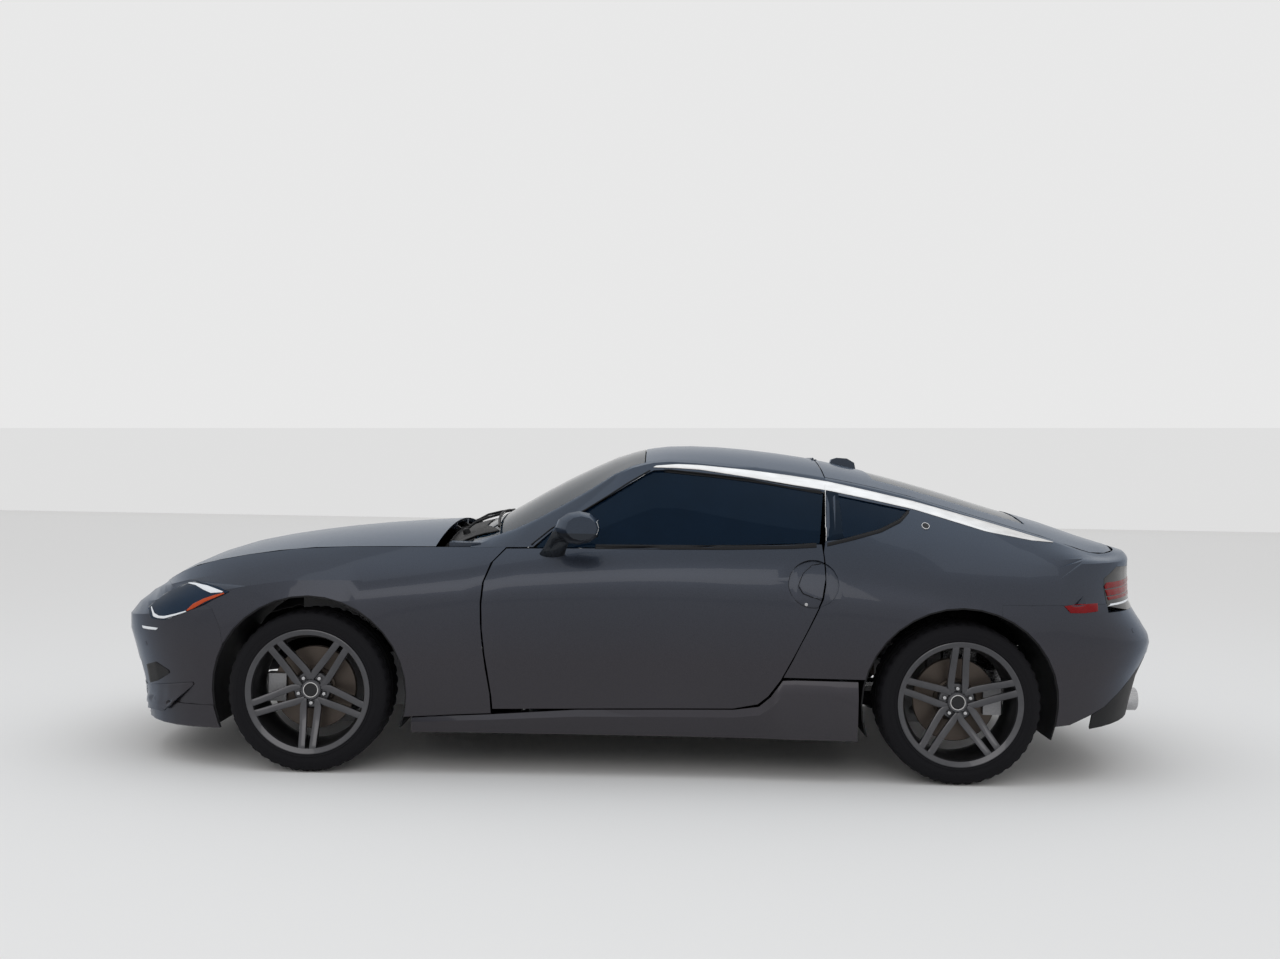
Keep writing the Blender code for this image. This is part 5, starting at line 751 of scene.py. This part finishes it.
# A painted highlight: a pale patch where light catches the lamp's upper rear corner.
GLINT_TOP = mm((-1800, 723), (-1760, 724), (-1700, 719.5), (-1655, 710.5), (-1620, 702.5))
GLINT_LOW = mm((-1800, 720), (-1755, 717), (-1712, 704), (-1672, 694.5), (-1622, 699.5))
for tag, side in SIDES:
    lamp = tree_of(f"headlamp_{tag}")
    view = mirror_view(side)
    for piece, upper, lower, finish in (("day_strip", DAY_TOP, DAY_LOW, CLEAR_LENS),
                                        ("amber", AMBER_TOP, AMBER_LOW, AMBER_LENS),
                                        ("reflector", GLINT_TOP, GLINT_LOW, CLEAR_LENS)):
        laid(f"headlamp_{piece}_{tag}", lamp, view, upper, lower, finish, "root", "lamp_lens", columns=30,
             rows=4, crown=0.001, edge=0.0008)

# %% Tail lamps
BAR_ANGLES = (math.radians(14), math.radians(69))
# Bars of a tail lamp. Columns: name, z at the inner end, z at the outer end, height, finish.
TAIL_BARS = (("upper", 0.806, 0.788, 0.023, RED_LENS), ("middle", 0.779, 0.761, 0.023, RED_LENS),
             ("lower", 0.752, 0.734, 0.012, RED_LENS), ("clear", 0.722, 0.708, 0.007, CLEAR_LENS))
tail = tree_of("tail_lamps")
for tag, side in SIDES:
    for name, z_in, z_out, height, finish in TAIL_BARS:
        ends = [(side * angle, z) for angle, z in zip(BAR_ANGLES, (z_in, z_out))]
        middle = [tuple((a + b) / 2 for a, b in zip(*ends))]
        upper = [ends[0], *middle, ends[1]]
        laid(f"tail_bar_{name}_{tag}", tail, "around", upper, [(u, z - height) for u, z in upper], finish,
             "root", "lamp_red", columns=40, lift=0.0008, wall=0.003, crown=0.0012, edge=0.0008)
MARKER_TOP = mm((1672, 708.5), (1745, 713.5), (1823, 715))
MARKER_LOW = mm((1697, 681.5), (1757, 680), (1818, 685))
NOSE_TOP = mm((-2000, 542), (-1950, 543.5), (-1905, 544))
NOSE_LOW = mm((-1992, 532), (-1950, 533), (-1915, 535))
for tag, side in SIDES:
    view = mirror_view(side)
    laid(f"rear_marker_{tag}", tree_of("rear_bumper", f"body_side_{tag}"), view, MARKER_TOP, MARKER_LOW,
         RED_LENS, "root", "lamp_red", rows=4, crown=0.0012)
    laid(f"front_marker_{tag}", tree_of("front_bumper"), view, NOSE_TOP, NOSE_LOW, CLEAR_LENS, "root",
         "lamp_lens", rows=4, crown=0.0008)
print("lamps dressed")

# %% [markdown]
# ## Round fittings
# A bare round badge sits behind each quarter window, a lock by each handle, and parking sensors in
# both bumpers. Each is a turned section stood on the skin, its axis along the skin's normal.

# %% Badge, lock and sensors
def stood_on(name, tree, view, u, w, profile, finish, body, slot, steps=32):
    """A turned piece whose axis stands on the skin."""
    point, normal = hit(tree, view, u, w)
    if normal.dot(Vector(LOOKS[view])) > 0:
        normal = -normal
    piece = turned(profile, steps)
    upright = Vector((0, -1, 0)).rotation_difference(normal).to_matrix().to_4x4()
    piece.data.transform(Matrix.Translation(point) @ upright)
    return finish_piece(piece, name, finish, body)


BADGE = mm((0, 3.6), (12.5, 3.2), (13.5, 2), (13.5, -2), (0, -2))
BADGE_RING = mm((13.4, 2.6), (14.2, 4.4), (15.8, 4.4), (17, 2), (17, -3), (13.4, -3))
LOCK = mm((0, 1.2), (3, 1), (3.4, 1.6), (6.2, 1.4), (7, 0.4), (7, -2), (0, -2))
SENSOR = mm((0, 1.2), (8, 1), (8.8, 0.2), (9.6, 0.6), (10, -1), (10, -4), (0, -4))
BADGE_PLACE, LOCK_PLACE = (1.157, 1.003), (0.668, 0.697)
for tag, side in SIDES:
    view = mirror_view(side)
    shell = tree_of(f"body_side_{tag}")
    stood_on(f"badge_{tag}", shell, view, *BADGE_PLACE, BADGE, GLOSS_BLACK, "root", "black_plastic")
    stood_on(f"badge_ring_{tag}", shell, view, *BADGE_PLACE, BADGE_RING, SATIN, "root", "steel")
    stood_on(f"lock_{tag}", tree_of(f"door_{tag}"), view, *LOCK_PLACE, LOCK, STEEL, f"door_{tag}", "steel")
REAR_SENSORS, FRONT_SENSORS = ((0.72, 0.6), (0.3, 0.57)), ((0.7, 0.47), (0.32, 0.545))
for end, rows, shell in (("rear", REAR_SENSORS, "rear_bumper"), ("front", FRONT_SENSORS, "front_bumper")):
    for k, (y, z) in enumerate(rows):
        for tag, side in SIDES:
            stood_on(f"{end}_sensor_{k}_{tag}", tree_of(shell), end, side * y, z, SENSOR, PAINT, "root",
                     "paint")
print("round fittings stood")

# %% [markdown]
# ## Glass band, seals and a painted shut highlight
# From outside, the window band looks like one dark shape: the painted pillar behind the door window
# is covered by the same dark print as the glass, and a painted highlight, a thin bright satin strip,
# marks where the door ends. A seal runs up the windscreen pillar, another closes the gap over the
# door glass, and fine black seals edge the handle's cup and leaf.

# %% Pillar cover and seals
def rod(name, points, radius, finish, body, slot, steps=3, closed=False):
    """A round bar through points: a curve given a bevel and made a mesh."""
    curve = bpy.data.curves.new(name, "CURVE")
    curve.dimensions, curve.bevel_depth = "3D", radius
    curve.bevel_resolution, curve.use_fill_caps = steps, True
    spline = curve.splines.new("POLY")
    spline.points.add(len(points) - 1)
    for target, point in zip(spline.points, points):
        target.co = (*point, 1)
    spline.use_cyclic_u = closed
    only(added(name, curve))
    bpy.ops.object.convert(target="MESH")
    return finish_piece(bpy.context.object, name, finish, body, smooth=60)


def rod_on(name, tree, view, line, radius, finish, body, slot, lift=0.0, count=40, closed=False):
    """A round bar that follows a line of a view over the skin."""
    points = []
    for k in range(count):
        point, normal = hit(tree, view, *along_line(line, k / (count if closed else count - 1)))
        if point is not None:
            points.append(point + normal * lift)
    return rod(name, points, radius, finish, body, slot, closed=closed)


PILLAR_REAR, PILLAR_FRONT = ((0.82, 0.951), (0.815, 1.133)), ((0.7475, 0.941), (0.7625, 1.143))
# Painted highlight: a satin strip stands in for light caught on the door's rear edge.
SHUT_REAR, SHUT_FRONT = ((0.75, 0.94), (0.765, 1.16)), ((0.747, 0.94), (0.762, 1.16))
SEAL_LINE = mm((-415, 905), (-340, 968), (-230, 1030), (-120, 1100), (-30, 1160), (50, 1207))
# The seal over the door glass, and half of its height, in pixels of the picture.
GLASS_SEAL = ((664.0, 470.6), (710.0, 475.4), (750.0, 480.4), (782.0, 485.4), (800.0, 488.6), (821.5, 492.6))
GLASS_SEAL_HALF = 1.7
CUP_CENTRE, CUP_HALF = (0.6964, 0.7764), (0.0985, 0.0921)
CUP_FIRST, CUP_TURN, CUP_STEPS, CUP_END_X = 75, 210, 24, 0.73
LEAF_LINE = mm((730, 713), (696, 725.5), (655, 740), (637, 769), (655, 815), (690, 847.5), (728, 855))
cup_line = [(CUP_CENTRE[0] + CUP_HALF[0] * math.cos(a), CUP_CENTRE[1] + CUP_HALF[1] * math.sin(a))
            for a in (math.radians(CUP_FIRST + CUP_TURN * k / CUP_STEPS) for k in range(CUP_STEPS + 1))]
cup_line = [place for place in cup_line if place[0] < CUP_END_X]
for tag, side in SIDES:
    view = mirror_view(side)
    quarter = tree_of(f"body_side_{tag}", f"quarter_glass_{tag}")
    laid(f"pillar_cover_{tag}", quarter, view, PILLAR_REAR, PILLAR_FRONT, GLASS_BAND, "root", "dark_glass",
         columns=16, rows=5, lift=0.0004, wall=0.002, edge=0.0004)
    # The shut line's painted highlight: a bright satin strip where the door's edge catches light.
    laid(f"shut_highlight_{tag}", quarter, view, SHUT_REAR, SHUT_FRONT, SATIN, "root", "steel", lift=0.003,
         wall=0.003, edge=0.0004)
    above, below = ([(u, v + step) for u, v in GLASS_SEAL] for step in (-GLASS_SEAL_HALF, GLASS_SEAL_HALF))
    laid(f"glass_seal_{tag}", tree_of(f"body_side_{tag}", f"door_glass_{tag}"), photo_view(side), above,
         below, *TRIM, columns=60, lift=0.0008, wall=0.003, edge=0.0004)
    door = tree_of(f"door_{tag}")
    for piece, line, radius in (("handle_seal", LEAF_LINE, 0.0016), ("cup_edge", cup_line, 0.001)):
        rod_on(f"{piece}_{tag}", door, view, line, radius, BLACK_TRIM, f"door_{tag}", "black_plastic")
    rod_on(f"screen_seal_{tag}", tree_of(f"body_side_{tag}"), view, SEAL_LINE, 0.003, *TRIM, lift=0.0005)
print("window band closed")

# %% [markdown]
# ## Nose
# At each corner of the nose a dark duct opens above a blade that juts from the foot of the bumper.
# Both are placed by their pixels in the photograph: the ray of a pixel stops on the bumper, and the
# other side takes the mirrored ray.

# %% Duct and blade
DUCT_TOP = (147.0, 664.0), (156.0, 661.5), (169.0, 670.0)
DUCT_LOW = (150.5, 682.5), (158.0, 680.5), (170.0, 673.0)
BLADE_TOP = ((141.0, 686.5), (150.0, 684.0), (170.0, 683.5), (193.0, 682.0))
BLADE_LOW = ((140.0, 698.0), (150.0, 706.0), (168.0, 709.5), (194.0, 684.5))
for tag, side in SIDES:
    nose = tree_of("front_bumper", "grille")
    laid(f"corner_duct_{tag}", nose, photo_view(side), DUCT_TOP, DUCT_LOW, *TRIM, columns=20, rows=6,
         wall=0.003, edge=0.0004)
    laid(f"corner_blade_{tag}", nose, photo_view(side), BLADE_TOP, BLADE_LOW, PAINT, "root", "paint", rows=8,
         lift=0.001, wall=0.006, lean=0.02)
print("nose dressed")

# %% [markdown]
# ## Cowl cover
# A black panel closes the space between the hood and the foot of the windscreen, and a rubber lip
# runs along its front edge.

# %% Cowl cover
COWL_REAR = mm((-560, -640), (-640, -400), (-655, 0), (-640, 400), (-560, 640))
COWL_FRONT = mm((-770, -640), (-785, -400), (-790, 0), (-785, 400), (-770, 640))
cowl_base = tree_of("cowl", "windscreen", "body_side_left", "body_side_right")
laid("cowl_cover", cowl_base, "top", COWL_REAR, COWL_FRONT, *TRIM, columns=48, rows=8, lift=0.003,
     crown=0.004)
rod_on("cowl_lip", cowl_base, "top", [(x + 0.006, y) for x, y in COWL_FRONT], 0.005, RUBBER, "root",
       "black_plastic", lift=0.005, count=48)
print("cowl covered")

# %% [markdown]
# ## Mirrors
# The mirror's upper shell is painted and its foot is black, which is one material that changes with
# height. A silvered glass lies on its rear face.

# %% Mirror shells and glass
def two_tone(upper, split):
    """The paint with a black lower half."""
    made = upper.copy()
    made.name = "mirror_shell"
    tree = made.node_tree
    shader = tree.nodes["Principled BSDF"]
    place = Flow(tree).node("TexCoord", out=3)
    above = place.node("SeparateXYZ", inputs={0: place}, out=2).above(split)
    painted = Flow(tree, shader.inputs["Base Color"].links[0].from_socket)
    feed(shader, base_color=above.mix(rgb(0.006, 0.006, 0.006), painted), metallic=above * 0.72)
    return made


SHELL_SPLIT = 0.965
MIRROR_SHELL = two_tone(PAINT, SHELL_SPLIT)
SILVER = metal_finish("silvered_glass", (0.75, 0.77, 0.78), 0.12, 1.0, 6.0, depth=0.00001)
# Edges of the glass. Columns: y on the right side, z.
GLASS_TOP = mm((895, 1014), (953.5, 1022), (1012, 1010))
GLASS_LOW = mm((895, 964), (953.5, 952), (1012, 960))
for tag, side in SIDES:
    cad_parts[f"mirror_{tag}"].material_slots[0].material = MIRROR_SHELL
    upper, lower = ([(side * y, z) for y, z in line] for line in (GLASS_TOP, GLASS_LOW))
    laid(f"mirror_glass_{tag}", tree_of(f"mirror_{tag}"), "rear", upper, lower, SILVER, f"door_{tag}",
         "steel", columns=16, rows=8, wall=0.002)
print("mirrors glazed")

# %% [markdown]
# ## Wipers
# Two black arms park along the foot of the windscreen. Each is a hub, a slim arm that reaches the
# middle of its blade, and a blade with a spine and a rubber edge.

# %% Wipers
WIPERS = (("driver", (-0.715, -0.46), ((-0.56, -0.62), (-0.59, -0.3), (-0.6, 0.02))),
          ("passenger", (-0.735, 0.1), ((-0.6, 0.05), (-0.592, 0.3), (-0.565, 0.58))))
WIPER_HUB = mm((0, 30), (10, 29), (14, 25), (17, 4), (22, 1), (22, -4), (0, -4))
screen_base = tree_of("windscreen", "cowl")
for name, pivot, blade in WIPERS:
    stood_on(f"wiper_hub_{name}", screen_base, "top", *pivot, WIPER_HUB, *TRIM, 24)
    low, up = hit(screen_base, "top", *pivot)
    far, out = hit(screen_base, "top", *along_line(blade, 0.5))
    arm = [low + up * 0.024, low * 0.7 + far * 0.3 + out * 0.034, low * 0.35 + far * 0.65 + out * 0.03,
           far + out * 0.02]
    rod(f"wiper_arm_{name}", arm, 0.0055, *TRIM)
    rod_on(f"wiper_spine_{name}", screen_base, "top", blade, 0.0048, *TRIM, lift=0.016)
    rod_on(f"wiper_rubber_{name}", screen_base, "top", blade, 0.0022, RUBBER, "root", "black_plastic",
           lift=0.008)
print("wipers", len(WIPERS))

# %% [markdown]
# ## Tail
# A blank plate with a thin frame hangs in the middle of the bumper, and bright rims line the two
# exhaust tips, whose mouths are closed by a dark disc: soot, and painted shade of the pipe's hollow.

# %% Plate and exhaust rims
PLATE_HALF, PLATE_LOW, PLATE_HIGH = 0.155, 0.525, 0.665
PLATE = grain_finish("blank_plate", (0.6, 0.6, 0.58), 0.35, 300.0, 0.0001, worn=1.15)
# The mouth disc is partly soot and partly painted shade, standing in for the dark hollow of the pipe.
SOOT_AND_HOLLOW_SHADE = grain_finish("soot_and_hollow_shade", (0.01, 0.009, 0.008), 0.95, 260.0, 0.0006)
tail_shell = tree_of("rear_bumper", "tail_lamps", "diffuser")
plate_low, plate_high = ([(-PLATE_HALF, z), (PLATE_HALF, z)] for z in (PLATE_LOW, PLATE_HIGH))
laid("rear_plate", tail_shell, "rear", plate_high, plate_low, PLATE, "root", None, columns=12, rows=8,
     lift=0.004, wall=0.003)
rod_on("plate_frame", tail_shell, "rear", [*plate_low, *reversed(plate_high), plate_low[0]], 0.004, *TRIM,
       lift=0.004, count=80, closed=True)
TIP_SECTION = mm((40, 2), (42, 5), (45.5, 5.5), (48, 2), (48.5, -50), (45.5, -50), (45.5, -2))
MOUTH_SECTION = mm((0, 1.2), (40, 1.2), (42, -1), (42, -3), (0, -3))
TIP_Y, TIP_Z = 0.38, 0.27
tip_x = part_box("exhaust")[1].x
for tag, side in SIDES:
    to_rear = Matrix.Translation((tip_x, side * TIP_Y, TIP_Z)) @ Matrix.Rotation(math.pi / 2, 4, "Z")
    for name, section, finish, slot in (("rim", TIP_SECTION, STEEL, "steel"),
                                        ("mouth", MOUTH_SECTION, SOOT_AND_HOLLOW_SHADE, "black_plastic")):
        piece = turned(section, 48)
        piece.data.transform(to_rear)
        finish_piece(piece, f"exhaust_{name}_{tag}", finish, "root")
print("tail dressed")

# %% [markdown]
# ## Seats
# A seat is foam under leather, so it has no hard edges. The solid is rebuilt from small voxels and
# relaxed, which crowns the cushion and rounds the bolsters, and sewn channels are then pressed in
# across the middle panel, with a seam down each side of it.

# %% Padded seats
SEAT_MIDDLE, PANEL_HALF, CHANNEL_STEP, CHANNEL_WIDE = 0.36005, 0.145, 0.062, 0.007
CHANNEL_DEEP, SEAM_DEEP, VOXEL, RELAX_TIMES = 0.0055, 0.0045, 0.009, 9
# Off the seam, half of the thread's width, and stitches per metre times 2 pi.
STITCH_OFF, THREAD_HALF, STITCH_RATE = 0.006, 0.001, 900.0


def leather_finish():
    """Leather with light stitches beside the panel seams."""
    made = LEATHER.copy()
    made.name = "stitched_leather"
    shader = made.node_tree.nodes["Principled BSDF"]
    place = Flow(made.node_tree).node("TexCoord", out=3)
    axes = place.node("SeparateXYZ", inputs={0: place})
    x, y, z = (Flow(axes.tree, axes.socket.node.outputs[i]) for i in range(3))
    off_seam = y.math("ABSOLUTE", y.math("ABSOLUTE", y) - SEAT_MIDDLE) - (PANEL_HALF + STITCH_OFF)
    thread = off_seam.math("ABSOLUTE", off_seam).below(THREAD_HALF)
    run = (x + z) * STITCH_RATE
    dash = run.math("SINE", run).above(-0.2)
    skin = Flow(made.node_tree, shader.inputs["Base Color"].links[0].from_socket)
    feed(shader, base_color=(thread * dash).mix(skin, rgb(0.2, 0.19, 0.18)))
    return made


STITCHED = leather_finish()
for tag, side in SIDES:
    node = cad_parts[f"seat_{tag}"]
    piece = added(f"padded_seat_{tag}", node.data.copy())
    modify(piece, "WELD", merge_threshold=WELD)
    modify(piece, "REMESH", mode="VOXEL", voxel_size=VOXEL)
    modify(piece, "SMOOTH", factor=0.5, iterations=RELAX_TIMES)
    apply_modifiers(piece)
    normals = [vertex.normal.copy() for vertex in piece.data.vertices]
    for vertex, normal in zip(piece.data.vertices, normals):
        across = abs(abs(vertex.co.y) - SEAT_MIDDLE)
        run = vertex.co.x * 0.55 + vertex.co.z * 0.83
        off = abs((run / CHANNEL_STEP) % 1 - 0.5) * CHANNEL_STEP
        press = 0.0
        if across < PANEL_HALF and (normal.z > 0.3 or normal.x < -0.3):
            press = CHANNEL_DEEP * max(0.0, 1 - off / CHANNEL_WIDE)
        press += SEAM_DEEP * max(0.0, 1 - abs(across - PANEL_HALF) / CHANNEL_WIDE)
        vertex.co = vertex.co - normal * press
    finish_piece(piece, f"padded_seat_{tag}", STITCHED, "root", smooth=180)
    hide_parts(f"seat_{tag}")
print("seats padded")

# %% [markdown]
# ## Cabin fittings
# Through the glass and the open doors one sees a console with a shift lever, a screen and three
# small gauges on the dash, a mirror on the windscreen, and a card with an armrest, a pocket and a
# pull on each door. They have no lettering.

# %% Console, lever, screen, gauges and mirror
def shaped_box(name, low, high, finish, body, slot, edge, taper=(1.0, 1.0), segments=3):
    """A box whose top is drawn in, with its edges rounded."""
    only()
    middle = [(a + b) / 2 for a, b in zip(low, high)]
    bpy.ops.mesh.primitive_cube_add(size=1, location=middle, scale=[b - a for a, b in zip(low, high)])
    piece = bpy.context.object
    bpy.ops.object.transform_apply(location=True, rotation=True, scale=True)
    for vertex in piece.data.vertices:
        if vertex.co.z > middle[2]:
            vertex.co.x = middle[0] + (vertex.co.x - middle[0]) * taper[0]
            vertex.co.y = middle[1] + (vertex.co.y - middle[1]) * taper[1]
    bevelled(piece, edge, segments)
    return finish_piece(piece, name, finish, body)


SCREEN = grain_finish("display", (0.004, 0.006, 0.009), 0.12, 40.0, 0.00001, coat=1.0)
CONSOLE = (-0.2, -0.105, 0.341), (0.56, 0.105, 0.475)
ARMREST = (0.3, -0.075, 0.476), (0.54, 0.075, 0.52)
DISPLAY = (-0.345, -0.105, 0.803), (-0.325, 0.105, 0.9)
LEVER = mm((-20, 0, 470), (-15, 0, 520), (-5, 0, 560))
KNOB = mm((0, 48), (13, 46), (21, 38), (24, 26), (20, 10), (11, 2), (0, 0))
KNOB_PLACE = (-0.005, 0, 0.553)
GAUGE = mm((0, 30), (24, 30), (26, 36), (31, 36), (34, 30), (34, -30), (0, -30))
GAUGE_X, GAUGE_Z, GAUGE_YS = -0.46, 0.836, (-0.08, 0.0, 0.08)
shaped_box("console", *CONSOLE, CABIN, "root", "cabin_trim", 0.02, (0.96, 0.8), 4)
shaped_box("armrest", *ARMREST, LEATHER, "root", "seat_cover", 0.016, (0.92, 0.88), 4)
rod("shift_lever", LEVER, 0.007, STEEL, "root", "steel")
knob = turned(KNOB, 32)
knob.data.transform(Matrix.Translation(KNOB_PLACE) @ Matrix.Rotation(-math.pi / 2, 4, "X"))
finish_piece(knob, "shift_knob", LEATHER, "root")
shaped_box("centre_screen", *DISPLAY, SCREEN, "root", "black_plastic", 0.004, (1.0, 0.98))
for k, y in enumerate(GAUGE_YS):
    gauge = turned(GAUGE, 40)
    gauge.data.transform(Matrix.Translation((GAUGE_X, y, GAUGE_Z)) @ Matrix.Rotation(math.pi / 2, 4, "Z"))
    finish_piece(gauge, f"gauge_{k}", SCREEN, "root")
DOOR_INNER, CARD_GAP = 0.765, 0.0005
# Pieces inside a door. Columns: name, x from, x to, z from, z to, reach inwards, finish, slot, edge.
CARD_PIECES = (("door_card", -0.44, 0.62, 0.455, 0.865, 0.0115, CABIN, "cabin_trim", 0.005),
               ("door_armrest", -0.16, 0.42, 0.61, 0.665, 0.06, LEATHER, "seat_cover", 0.012),
               ("door_pocket", -0.34, 0.36, 0.475, 0.545, 0.04, BLACK_TRIM, "black_plastic", 0.008),
               ("door_pull", 0.02, 0.2, 0.735, 0.765, 0.026, SATIN, "steel", 0.006))
for tag, side in SIDES:
    for name, x_low, x_high, z_low, z_high, reach, finish, slot, edge in CARD_PIECES:
        ends = sorted((side * (DOOR_INNER - CARD_GAP), side * (DOOR_INNER - reach)))
        shaped_box(f"{name}_{tag}", (x_low, ends[0], z_low), (x_high, ends[1], z_high), finish, f"door_{tag}",
                   slot, edge, (0.96, 1.0))
# The inside mirror hangs below a point of the windscreen.
MIRROR_X, MIRROR_HALF, MIRROR_BACK, MIRROR_DROP = -0.09, 0.115, (0.02, 0.042), (-0.135, -0.078)
STALK = mm((4, -12), (18, -55), (30, -90))
inner, _ = hit(tree_of("windscreen"), "top", MIRROR_X, 0.0)
low, high = ((inner.x + x, y, inner.z + z)
             for x, y, z in zip(MIRROR_BACK, (-MIRROR_HALF, MIRROR_HALF), MIRROR_DROP))
shaped_box("inside_mirror", low, high, GLOSS_BLACK, "root", "black_plastic", 0.006)
rod("inside_mirror_stalk", [(inner.x + x, 0, inner.z + z) for x, z in STALK], 0.008, *TRIM)
print("cabin fitted")

# %% [markdown]
# ## Engine cover
# Under the hood, a ribbed black cover hides the top of the plain engine block, with two intake
# pipes in front.

# %% Engine cover
top_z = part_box("engine")[1].z
RIBS, RIB_STEP = 7, 0.06
# Points of a rib: x, height over the block. Points of a pipe: x, y on the right side, z.
RIB = mm((-1370, 39), (-1360, 42.5), (-880, 42.5), (-870, 39))
PIPE = mm((-1440, 160, 600), (-1500, 160, 610), (-1580, 180, 590), (-1680, 220, 560))
shaped_box("engine_cover", (-1.4, -0.25, top_z + 0.0005), (-0.84, 0.25, top_z + 0.04), *TRIM, 0.014,
           (0.94, 0.88))
for k in range(RIBS):
    y = RIB_STEP * (k - (RIBS - 1) / 2)
    rod(f"cover_rib_{k}", [(x, y, top_z + z) for x, z in RIB], 0.006, CAST, "root", "cast_metal")
for tag, side in SIDES:
    rod(f"intake_pipe_{tag}", [(x, side * y, z) for x, y, z in PIPE], 0.032, *TRIM, 6)
print("engine covered")
